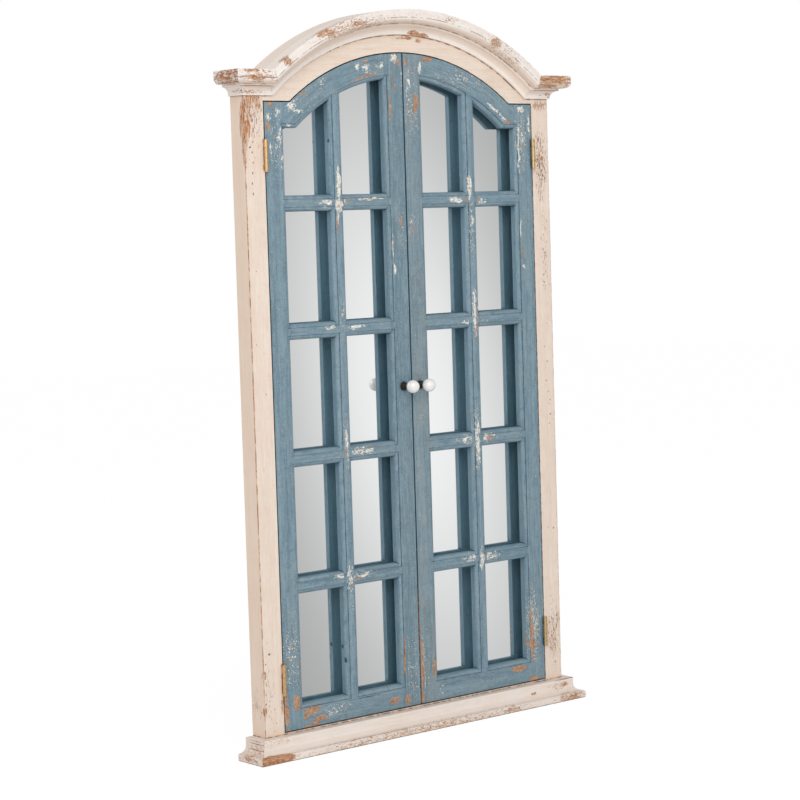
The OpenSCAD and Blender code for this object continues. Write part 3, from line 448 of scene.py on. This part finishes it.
crownWear = {
    "chips": [(-265, -28, 1125, 15, 14, 11, 1.0), (-183, -28, 1171, 34, 14, 11, 1.05),
              (-110, -28, 1188, 74, 12, 10, .66), (-124, -30, 1187, 22, 10, 6, .85),
              (186, -30, 1165, 19, 12, 12, 1.0), (217, -28, 1136, 24, 14, 12, .5),
              (82, -28, 1200, 40, 12, 8, .55), (22, -6, 1177.5, 16, 8, 4.5, 1.5),
              (32, -6, 1176.4, 14, 8, 4.5, 1.5), (42, -6, 1175, 18, 8, 4.5, 1.5),
              (4.6, -29, 1194, 5, 6, 3, .7)],
    "specks": [(-130, -28, 1180, 200, 18, 36, .72), (-60, -28, 1205, 180, 40, 12, .45),
               (190, -28, 1150, 150, 18, 50, .6)],
    "archLines": [(442.8, -31, 1.0, .78), (430.5, -16, 1.0, .66)],
}
headWear = {"chips": [(7, 0, 1170.5, 20, 8, 3.4, 1.4), (36, 0, 1166.5, 10, 8, 4, 1.2)],
            "specks": [(-230, 0, 1100, 80, 10, 40, .2), (230, 0, 1090, 70, 10, 40, .28)],
            "lines": [(-12, 0, 1175.6, 22, 3, 1.5, .95)]
                     + alongArch(416.5, -22, -4, 8, (7, 3, 1.8), .95)}
earWear = {
    "chips": [(-334, -31, 1108, 30, 8, 4, 1.1), (-330, -31, 1097, 34, 8, 5, 1.1),
              (-322, -31, 1089, 17, 8, 4, 1.25), (316, -31, 1105, 50, 12, 8, 1.6),
              (304, -29, 1092, 30, 10, 6, 1.4), (345, -28, 1101, 26, 16, 10, .95),
              (-348, -6, 1078, 26, 30, 8, .6), (330, -6, 1078, 30, 30, 8, .6)],
    "specks": [(-320, -28, 1100, 60, 20, 14, .8), (-330, -6, 1077, 50, 30, 5, .9),
               (330, -28, 1098, 60, 20, 16, .8)],
    "lines": [(side * 322, depth, height, 70, 5, 1.4, .95) for side in (-1, 1)
              for depth, height in ((-31, 1098), (-16, 1085.5))],
}
earEndWear = {
    "chips": [(-362, -5, 1103, 12, 44, 12, 1.35), (-362, -5, 1091, 12, 44, 5, 1.2),
              (362, -5, 1100, 12, 44, 14, 1.2), (-340, 0, 1078, 20, 30, 6, .7)],
    "specks": [(-362, 0, 1098, 16, 50, 22, 1.0), (362, 0, 1098, 16, 50, 22, .9)],
    "lines": [(side * 362.5, 2, 1098, 4, 60, 1.4, .9) for side in (-1, 1)],
}
sillWear = {
    "chips": [(-336, -31, 5, 44, 14, 14, 2.0), (324, -26, 6, 44, 16, 13, 1.0), (184, -27, 7, 30, 14, 9, .8),
              (-130, -29, 5, 150, 10, 9, .56), (60, -29, 5, 130, 10, 9, .54),
              (325, -15, 28, 11, 8, 5, 1.05), (247, -15, 22, 8, 8, 4, .95)],
    "specks": [(0, -28, 6, 380, 12, 12, .76), (-316, -14, 34, 40, 10, 14, .6),
               (310, -15, 27, 44, 8, 12, .6)],
    "lines": [(-150, -29, 13.4, 260, 4, 1.0, .85), (326, -15, 37, 34, 3, 1.3, .9)],
}
sillEndWear = {
    "chips": [(-360, 2, 8, 12, 40, 9, .82), (-352, -6, 20, 8, 20, 5, .9), (356, 2, 10, 14, 36, 13, .85)],
    "specks": [(-354, 0, 20, 24, 50, 24, .7), (354, 0, 20, 24, 50, 24, .7)],
    "lines": [(-346, 4, 30.5, 10, 30, 1.2, .95), (-350, 4, 21, 10, 34, 1.2, .9),
              (-345, 8, 35, 10, 26, 1.0, .8)],
}
doorTopWear = {
    "chips": [(-97, 0, 1121, 9, 10, 11, .82), (-78, 0, 1119, 11, 10, 16, .82),
              (-46, 0, 1124, 15, 10, 9, .8), (-236, 0, 1055, 12, 10, 13, .92),
              (-222, 0, 1047, 14, 10, 4, .8), (-240, 0, 1026, 10, 9, 5, .8),
              (-173, 0, 1094, 14, 10, 10, .62), (120, 0, 1105, 70, 12, 20, .4)]
             + alongArch(358.6, 32.3, 40.3, 12, (4.6, 7, 2.8), .92),
    "bare": [(53, 0, 1136, 16, 10, 6, .9), (236, 0, 1033, 9, 10, 4.5, 1.0), (-80, 0, 1130, 6, 8, 6, .8),
             (-210, 0, 1076, 8, 8, 7, .75)] + alongArch(355.0, -17.6, -9.6, 10, (6, 8, 2.2), .8),
    "rain": [(-190, 0, 1075, 60, 14, 40, .5), (-60, 0, 1120, 60, 12, 24, .6),
             (130, 0, 1100, 90, 14, 30, .75)],
}
hingeStileWear = {
    "chips": [(268, 0, 1053, 11, 12, 6.5, 1.2), (-283, 0, 1039, 7, 9, 8, .95),
              (-265, 0, 1044, 9, 12, 9, .85), (-262, 0, 1008, 8, 10, 20, .85),
              (-279.5, 0, 987, 3.5, 8, 22, .85), (-257, 0, 968, 3.5, 8, 24, .95),
              (-270, 0, 985, 14, 10, 20, .5), (261, 0, 985, 2.6, 7, 52, 1.15),
              (286, 0, 1030, 3, 8, 28, 1.0), (272, 0, 1000, 10, 12, 40, .5),
              (261.5, 0, 846, 2.2, 6, 24, 1.0), (266.5, 0, 779, 5, 6, 6, 1.05)],
    "bare": [(-280, 0, 1059, 8, 9, 6, 1.0), (-283, 0, 1023, 5.5, 9, 10, .95), (-265, 0, 86, 9, 10, 15, 1.1),
             (-288, 0, 76, 7, 10, 36, 1.0), (-254, 0, 130, 2.5, 8, 34, .7), (-284, 0, 40, 12, 10, 6, .8),
             (262, 0, 126, 5.5, 10, 64, .95), (249, 0, 124, 5, 10, 40, .85), (260, 0, 109, 19, 10, 10, .8),
             (264, 0, 46, 19, 10, 6, .95), (263.5, 0, 804, 2, 6, 20, .85)],
    "specks": [(266, 0, 1000, 14, 12, 80, .6), (266, 0, 140, 20, 12, 90, .8)],
    "rain": [(-272, 0, 165, 24, 14, 90, 1.0), (-268, 0, 1000, 24, 14, 70, .8),
             (268, 0, 170, 24, 14, 120, .45), (268, 0, 1000, 24, 14, 80, .8)],
}
leftMeetingWear = {
    "chips": [(-32, 0, 826, 2.0, 6, 34, .95), (-30, 0, 784, 3.4, 6, 12, 1.25),
              (-18, 0, 1136, 11, 10, 9, 1.0), (-2, 0, 1100, 5, 10, 30, .6)],
    "bare": [(-33, 0, 828, 1.8, 6, 24, .7), (-14, 0, 866, 8, 10, 24, .5), (-29, 0, 1054, 3.5, 8, 42, .85),
             (-10, 0, 1131, 5, 8, 9, .8), (-33, 0, 130, 2.4, 6, 48, 1.0), (-29, 0, 55, 9, 10, 14, .8),
             (-20, 0, 1095, 10, 10, 40, .5)],
    "rubbed": [(-0.8, 0, 150, 1.4, 5, 150, .5)],
    "rain": [(-12, 0, 860, 14, 12, 60, .7), (-16, 0, 100, 20, 12, 90, .8)],
}
rightMeetingWear = {
    "chips": [(12, 0, 1096, 8, 12, 50, .65), (40, 0, 1121, 8, 12, 14, .9), (11, 0, 856, 10, 10, 26, .5),
              (6, 0, 116, 6, 12, 70, .8)],
    "bare": [(27, 0, 1061, 8, 10, 20, .95), (33, 0, 99, 8, 10, 26, .8), (5, 0, 110, 5, 10, 74, .8),
             (2, 0, 55, 7, 10, 16, 1.0), (13, 0, 850, 6, 9, 16, .65), (6, 0, 1130, 5, 9, 10, .8)],
    "rubbed": [(0.8, 0, 165, 1.8, 5, 165, .85)],
    "rain": [(16, 0, 1060, 22, 12, 90, .8), (18, 0, 560, 20, 12, 600, .4), (16, 0, 100, 22, 12, 90, .55)],
}
uprightWear = {
    "chips": [(-144, 0, 930, 6.5, 11, 32, 1.3), (-144, 0, 893, 9, 12, 18, 1.0),
              (-148, 0, 873, 3.5, 9, 15, 1.0), (-144, 0, 717, 5, 12, 34, .6),
              (-144, 0, 500, 6, 12, 46, .8), (-146, 0, 280, 9, 12, 26, .8), (143, 0, 920, 6, 11, 27, 1.3),
              (147, 0, 860, 6, 10, 26, .8), (148, 0, 706, 9, 11, 56, .9), (146, 0, 482, 9, 12, 60, .9),
              (149, 0, 275, 8, 12, 26, .85)],
    "bare": [(132, 0, 899, 5, 9, 4, 1.0), (-150, 0, 864, 3, 9, 20, .85), (152, 0, 690, 3, 9, 50, .8),
             (-146, 0, 486, 4, 9, 14, .7)],
    "rain": [(-144, 0, 262, 13, 14, 60, 1.0), (-144, 0, 500, 13, 14, 70, .8), (146, 0, 480, 14, 14, 90, .9),
             (146, 0, 850, 13, 14, 70, .9), (-144, 0, 700, 12, 14, 60, .7)],
    "lines": [(-161, 10, 163, 5, 5, 5, 1.0), (-159, 3, 140, 3, 4, 7, 1.0), (-160, 4, 1000, 3, 4, 5, .9)],
}
crossWear = {
    "chips": [(-158, 0, 900, 38, 12, 6, .9), (-158, 0, 890, 30, 12, 5, .7),
              (-84, 0, 903.5, 46, 5, 2.2, .95), (-170, 0, 695, 20, 10, 5, 1.0),
              (-115, 0, 693, 27, 10, 5, .95), (-117, 0, 486, 44, 12, 9, .8),
              (-166, 0, 282, 18, 10, 6, .95), (-116, 0, 280, 24, 10, 5, .9),
              (109, 0, 899, 20, 10, 6, 1.0), (168, 0, 894, 26, 12, 6, .8), (143, 0, 688, 40, 12, 7, .7),
              (145, 0, 486, 56, 12, 11, .9), (149, 0, 278, 56, 12, 11, .85)],
    "bare": [(-127, 0, 902, 5, 9, 3, 1.0), (132, 0, 899, 5, 9, 4, 1.1), (160, 0, 899, 5, 9, 4, 1.1),
             (176, 0, 484, 16, 9, 6, .7), (-130, 0, 274, 9, 9, 4, .8)],
    "rubbed": [(-84, 0, 903, 44, 4, 1.2, .6), (-100, 0, 490, 50, 4, 1.4, .6)],
    "rain": [(-140, 0, 486, 70, 14, 16, .7), (145, 0, 486, 70, 14, 16, .8), (-130, 0, 280, 60, 14, 14, .8),
             (145, 0, 280, 70, 14, 16, .8)],
}
railWear = {
    "chips": [(42, 0, 55, 26, 12, 14, .55), (-200, 0, 58, 16, 12, 8, .7), (-180, 0, 60, 40, 12, 12, .4)],
    "bare": [(-236, 0, 69, 24, 10, 8, 1.15), (-250, 0, 60, 13, 10, 7, .9), (-216, 0, 53, 17, 10, 6, 1.05),
             (-229, 0, 46, 13, 10, 5, .9), (-246, 0, 41, 20, 10, 3.5, 1.1),
             (231, 0, 68, 25, 10, 5.5, 1.05), (-60, 0, 56, 18, 10, 8, .7)],
    "rain": [(-190, 0, 62, 60, 12, 16, .8), (160, 0, 62, 120, 12, 16, .4)],
    "lines": [(-120, 0, 72.5, 44, 3, 1.4, .8)],
}

paints = {
    "creamJamb": paintedWood("creamJamb", jambLook, "up", jambWear, 0.14),
    "creamHead": paintedWood("creamHead", headLook, "across", headWear),
    "creamCrown": paintedWood("creamCrown", crownLook, "arch", crownWear),
    "creamEar": paintedWood("creamEar", crownLook, "across", earWear, 0.25),
    "creamEarEnd": paintedWood("creamEarEnd", crownEndLook, "deep", earEndWear, 0.3),
    "creamSill": paintedWood("creamSill", sillLook, "across", sillWear, 0.3),
    "creamSillEnd": paintedWood("creamSillEnd", sillLook, "deep", sillEndWear, 0.3),
    "blueHingeStile": paintedWood("blueHingeStile", blueLook, "up", hingeStileWear),
    "blueLeftMeetingStile": paintedWood("blueLeftMeetingStile", leftMeetingLook, "up", leftMeetingWear),
    "blueRightMeetingStile": paintedWood("blueRightMeetingStile", rightMeetingLook, "up", rightMeetingWear),
    "blueArchRail": paintedWood("blueArchRail", blueLook, "arch", doorTopWear),
    "blueRail": paintedWood("blueRail", blueLook, "across", railWear),
    "blueUpright": paintedWood("blueUpright", uprightLook, "up", uprightWear),
    "blueCross": paintedWood("blueCross", blueLook, "across", crossWear),
}
print("paints made:", len(paints))


# mirror, board, metals, porcelain

def mirrorSilver():
    look = {"silver": (0.93, 0.94, 0.94), "backPaint": srgb(96, 92, 88), "backPale": srgb(118, 113, 106),
            "clear": 0.004, "haze": 0.012}
    material, tree, shader = newMaterial("mirrorSilver")
    place = addNode(tree, "TexCoord").outputs["Object"]
    facing = addNode(tree, "SeparateXYZ")
    plug(tree, facing.inputs[0], addNode(tree, "NewGeometry").outputs["True Normal"])
    front = spread(tree, facing.outputs["Y"], -0.7, -0.9)
    smear = cloudNoise(tree, place, 9, 4, 0.6, 0.8)
    coat = blendColour(tree, spread(tree, cloudNoise(tree, place, 140, 4, 0.7), 0.35, 0.7),
                       look["backPaint"], look["backPale"])
    plug(tree, shader.inputs["Base Color"], blendColour(tree, front, coat, look["silver"]))
    plug(tree, shader.inputs["Metallic"], front)
    clear = spread(tree, smear, 0.3, 0.8, look["clear"], look["haze"])
    matt = calc(tree, "MULTIPLY_ADD", front, -0.6, 0.6)
    plug(tree, shader.inputs["Roughness"], calc(tree, "ADD", clear, matt))
    return material


def backBoard():
    look = {"dark": srgb(122, 88, 58), "light": srgb(166, 128, 90)}
    material, tree, shader = newMaterial("pressedBoard")
    place = addNode(tree, "TexCoord").outputs["Object"]
    fibre = cloudNoise(tree, place, 900, 5, 0.75, 1.2)
    blotch = cloudNoise(tree, place, 12, 4, 0.6)
    flecks = cloudNoise(tree, place, 320, 4, 0.7)
    tone = calc(tree, "ADD", calc(tree, "MULTIPLY", fibre, 0.55), calc(tree, "MULTIPLY", blotch, 0.12))
    tone = calc(tree, "MULTIPLY_ADD", flecks, 0.33, tone)
    plug(tree, shader.inputs["Base Color"],
         blendColour(tree, spread(tree, tone, 0.38, 0.62), look["dark"], look["light"]))
    plug(tree, shader.inputs["Roughness"], spread(tree, fibre, 0.3, 0.7, 0.62, 0.85))
    raiseSurface(tree, shader, fibre, 0.5, 0.4 * mm)
    return material


def agedMetal(name, look):
    material, tree, shader = newMaterial(name)
    place = addNode(tree, "TexCoord").outputs["Object"]
    cloud = cloudNoise(tree, place, 210, 5, 0.65)
    scratch = cloudNoise(tree, vectorCalc(tree, "MULTIPLY", place, look["drawn"]), 2600, 3, 0.6)
    hollow = addNode(tree, "AmbientOcclusion", samples=6)
    hollow.inputs["Distance"].default_value = 0.0025
    shade = calc(tree, "SUBTRACT", 1.0, spread(tree, hollow.outputs["AO"], 0.25, 0.8))
    stain = calc(tree, "MAXIMUM", calc(tree, "MULTIPLY", shade, look["hollows"]),
                 calc(tree, "MULTIPLY", spread(tree, cloud, 0.5, 0.72), look["stains"]))
    bright = blendColour(tree, spread(tree, scratch, 0.3, 0.7), look["colour"], look["pale"])
    plug(tree, shader.inputs["Base Color"], blendColour(tree, stain, bright, look["stain"]))
    shader.inputs["Metallic"].default_value = look["metallic"]
    rough = spread(tree, scratch, 0.2, 0.8, look["rough"] - 0.08, look["rough"] + 0.08, smooth=False)
    plug(tree, shader.inputs["Roughness"], calc(tree, "MULTIPLY_ADD", stain, 0.3, rough, clamp=True))
    raiseSurface(tree, shader, calc(tree, "MULTIPLY_ADD", scratch, 0.5, cloud), 0.35, 0.2 * mm)
    return material


def whitePorcelain():
    look = {"glaze": srgb(252, 251, 249), "warm": srgb(246, 243, 239), "speck": srgb(170, 160, 148)}
    material, tree, shader = newMaterial("whitePorcelain")
    place = addNode(tree, "TexCoord").outputs["Object"]
    cloud = cloudNoise(tree, place, 130, 3, 0.5)
    pits = spread(tree, cloudNoise(tree, place, 1500, 2, 0.4), 0.70, 0.76)
    body = blendColour(tree, cloud, look["glaze"], look["warm"])
    body = blendColour(tree, calc(tree, "MULTIPLY", pits, 0.6), body, look["speck"])
    plug(tree, shader.inputs["Base Color"], body)
    plug(tree, shader.inputs["Roughness"], spread(tree, cloud, 0.3, 0.7, 0.12, 0.2))
    shader.inputs["Coat Weight"].default_value = 0.6
    shader.inputs["Coat Roughness"].default_value = 0.05
    pitted = calc(tree, "SUBTRACT", cloud, calc(tree, "MULTIPLY", pits, 0.5))
    raiseSurface(tree, shader, pitted, 0.15, 0.4 * mm)
    return material


fittings = {
    "mirror": mirrorSilver(),
    "backboard": backBoard(),
    "porcelain": whitePorcelain(),
    "brass": agedMetal("agedBrass", {
        "colour": srgb(226, 184, 130), "pale": srgb(243, 212, 166), "stain": srgb(88, 62, 36),
        "metallic": 0.9, "hollows": 0.9, "stains": 0.45, "rough": 0.38, "drawn": (1, 1, 0.05)}),
    "steel": agedMetal("zincSteel", {
        "colour": srgb(158, 160, 163), "pale": srgb(196, 198, 200), "stain": srgb(92, 88, 84),
        "metallic": 1.0, "hollows": 0.8, "stains": 0.35, "rough": 0.36, "drawn": (0.05, 1, 1)}),
    "dark_metal": agedMetal("blackenedMetal", {
        "colour": srgb(52, 44, 38), "pale": srgb(86, 72, 58), "stain": srgb(24, 20, 18),
        "metallic": 0.7, "hollows": 0.8, "stains": 0.5, "rough": 0.45, "drawn": (1, 0.05, 1)}),
}
print("fittings' finishes made:", len(fittings))


# every piece gets its finish, and the painted pieces softened arrises

paintOf = {
    "left_jamb": "creamJamb", "right_jamb": "creamJamb", "head_rail": "creamHead", "bottom_rail": "creamHead",
    "crown_arch": "creamCrown", "left_crown_ear": "creamEar", "right_crown_ear": "creamEar",
    "left_crown_return": "creamEarEnd", "right_crown_return": "creamEarEnd", "sill_front": "creamSill",
    "left_sill_return": "creamSillEnd", "right_sill_return": "creamSillEnd",
    "left_meeting_stile": "blueLeftMeetingStile", "right_meeting_stile": "blueRightMeetingStile",
}
for side in ("left_", "right_"):
    paintOf[side + "hinge_stile"] = "blueHingeStile"
    paintOf[side + "arch_rail"] = "blueArchRail"
    paintOf[side + "bottom_rail"] = "blueRail"
    paintOf[side + "upright_bar"] = "blueUpright"
    for row in range(1, 5):
        paintOf[side + "cross_bar_%d" % row] = "blueCross"

arris = {"case": 0.6 * mm, "door": 0.45 * mm, "angle": 24, "steps": 2, "weld": 0.01 * mm, "flat": 0.25}
slotOf = {row["node"]: row["material_slot"] for row in frame["record"]["subparts"]}


def dress(piece, material):
    piece.data.materials.clear()
    piece.data.materials.append(material)


def softenArrises(piece, width):
    weld = piece.modifiers.new("weldedSeams", "WELD")
    weld.merge_threshold = arris["weld"]
    flat = piece.modifiers.new("wholeFaces", "DECIMATE")
    flat.decimate_type = "DISSOLVE"
    flat.angle_limit = math.radians(arris["flat"])
    edge = piece.modifiers.new("softArrises", "BEVEL")
    edge.width = width
    edge.segments = arris["steps"]
    edge.limit_method = "ANGLE"
    edge.angle_limit = math.radians(arris["angle"])
    even = piece.modifiers.new("evenShading", "WEIGHTED_NORMAL")
    even.keep_sharp = False


for name, piece in frame["nodes"].items():
    if name in paintOf:
        dress(piece, paints[paintOf[name]])
        softenArrises(piece, arris["case"] if paintOf[name].startswith("cream") else arris["door"])
    else:
        dress(piece, fittings[slotOf[name]])
print("nodes dressed:", len(frame["nodes"]))


# floor, light and camera

studio = {
    "floorColour": (0.92, 0.92, 0.92), "floorSize": 9, "floorRough": 0.9, "floorWhite": 0.88,
    "floorGlow": 1.05, "level": 0.64,
    "keyPower": 64, "keySize": 2.6, "keyPlace": (-2.3, -2.9, 2.6), "keyAim": (0, 0, 0.65),
}
# what the mirror sees: a soft pale spot on a grey wall, and a paler room to both sides of it
reflected = {
    "wall": 0.367, "glow": 0.58, "toSide": (0.7679, 0.6406, 0), "side": 0.0039, "height": -0.0789,
    "lean": 0.1456, "across": 0.0404, "up": 0.0991, "down": 0.0955,
    "roomLow": 0.05, "roomHigh": 0.50, "roomFoot": -0.45, "roomHead": 0.35, "roomFrom": 0.22, "roomTo": 0.85,
}


def makeFloor():
    sheet = bmesh.new()
    bmesh.ops.create_grid(sheet, x_segments=1, y_segments=1, size=studio["floorSize"])
    mesh = bpy.data.meshes.new("studioFloor")
    sheet.to_mesh(mesh)
    sheet.free()
    floor = bpy.data.objects.new("studioFloor", mesh)
    bpy.context.collection.objects.link(floor)
    floor.visible_glossy = False
    material, tree, shader = newMaterial("paleFloor")
    shader.inputs["Base Color"].default_value = studio["floorColour"] + (1,)
    shader.inputs["Roughness"].default_value = studio["floorRough"]
    glow = addNode(tree, "Emission")
    glow.inputs["Color"].default_value = (1, 1, 1, 1)
    glow.inputs["Strength"].default_value = studio["floorGlow"]
    mix = addNode(tree, "MixShader")
    seen = calc(tree, "MULTIPLY", addNode(tree, "LightPath").outputs["Is Camera Ray"], studio["floorWhite"])
    plug(tree, mix.inputs[0], seen)
    plug(tree, mix.inputs[1], shader.outputs[0])
    plug(tree, mix.inputs[2], glow.outputs[0])
    plug(tree, tree.nodes["Material Output"].inputs["Surface"], mix.outputs[0])
    dress(floor, material)


def makeSky():
    world = bpy.data.worlds.new("studioSky")
    world.use_nodes = True
    bpy.context.scene.world = world
    tree = world.node_tree
    tree.nodes.clear()
    way = addNode(tree, "TexCoord").outputs["Generated"]
    side = vectorCalc(tree, "DOT_PRODUCT", way, reflected["toSide"])
    height = vectorCalc(tree, "DOT_PRODUCT", way, (0, 0, 1))
    room = spread(tree, height, reflected["roomFoot"], reflected["roomHead"],
                  reflected["roomLow"], reflected["roomHigh"])
    beside = spread(tree, calc(tree, "ABSOLUTE", side), reflected["roomFrom"], reflected["roomTo"])
    room = calc(tree, "MULTIPLY", room, beside)
    height = calc(tree, "SUBTRACT", height, reflected["height"])
    side = calc(tree, "SUBTRACT", side, reflected["side"])
    side = calc(tree, "MULTIPLY_ADD", height, reflected["lean"], side)
    side = calc(tree, "DIVIDE", side, reflected["across"])
    reach = addNode(tree, "Mix", data_type="FLOAT")
    plug(tree, reach.inputs[0], calc(tree, "GREATER_THAN", height, 0.0))
    reach.inputs[2].default_value = reflected["down"]
    reach.inputs[3].default_value = reflected["up"]
    height = calc(tree, "DIVIDE", height, reach.outputs[0])
    far = calc(tree, "ADD", calc(tree, "MULTIPLY", side, side), calc(tree, "MULTIPLY", height, height))
    glow = calc(tree, "EXPONENT", calc(tree, "MULTIPLY", far, -0.5))
    mirrored = calc(tree, "MULTIPLY_ADD", glow, reflected["glow"], reflected["wall"])
    mirrored = calc(tree, "ADD", mirrored, room)
    paths = addNode(tree, "LightPath")
    level = addNode(tree, "Mix", data_type="FLOAT")
    plug(tree, level.inputs[0], paths.outputs["Is Glossy Ray"])
    level.inputs[2].default_value = studio["level"]
    plug(tree, level.inputs[3], mirrored)
    seen = addNode(tree, "Mix", data_type="FLOAT")
    plug(tree, seen.inputs[0], paths.outputs["Is Camera Ray"])
    plug(tree, seen.inputs[2], level.outputs[0])
    seen.inputs[3].default_value = 1.0
    back = addNode(tree, "Background")
    back.inputs["Color"].default_value = (1, 1, 1, 1)
    plug(tree, back.inputs["Strength"], seen.outputs[0])
    out = addNode(tree, "OutputWorld")
    plug(tree, out.inputs["Surface"], back.outputs[0])


def makeLamp():
    lamp = bpy.data.lights.new("softKey", "AREA")
    lamp.energy = studio["keyPower"]
    lamp.shape = "DISK"
    lamp.size = studio["keySize"]
    key = bpy.data.objects.new("softKey", lamp)
    bpy.context.collection.objects.link(key)
    key.location = studio["keyPlace"]
    aim = Vector(studio["keyAim"]) - key.location
    key.rotation_euler = aim.to_track_quat("-Z", "Y").to_euler()


def makeCamera():
    look = {"yaw": 39.84, "pitch": -4.50, "roll": -1.76, "lens": 103.24, "sensor": 36,
            "near": 0.05, "far": 60, "place": (-2.4949, -2.9578, 0.8681)}
    yaw, pitch, roll = (math.radians(look[key]) for key in ("yaw", "pitch", "roll"))
    ahead = Vector((math.sin(yaw) * math.cos(pitch), math.cos(yaw) * math.cos(pitch), math.sin(pitch)))
    right = Vector((math.cos(yaw), -math.sin(yaw), 0))
    up = right.cross(ahead)
    tiltedRight = right * math.cos(roll) + up * math.sin(roll)
    tiltedUp = up * math.cos(roll) - right * math.sin(roll)
    data = bpy.data.cameras.new("frontCamera")
    data.lens = look["lens"]
    data.sensor_width = look["sensor"]
    data.clip_start = look["near"]
    data.clip_end = look["far"]
    camera = bpy.data.objects.new("frontCamera", data)
    bpy.context.collection.objects.link(camera)
    turned = Matrix((tiltedRight, tiltedUp, -ahead)).transposed()
    camera.matrix_world = Matrix.Translation(look["place"]) @ turned.to_4x4()
    bpy.context.scene.camera = camera


makeFloor()
makeSky()
makeLamp()
makeCamera()
bpy.context.scene.view_settings.view_transform = "Standard"
print("studio ready")

bpy.context.view_layer.update()
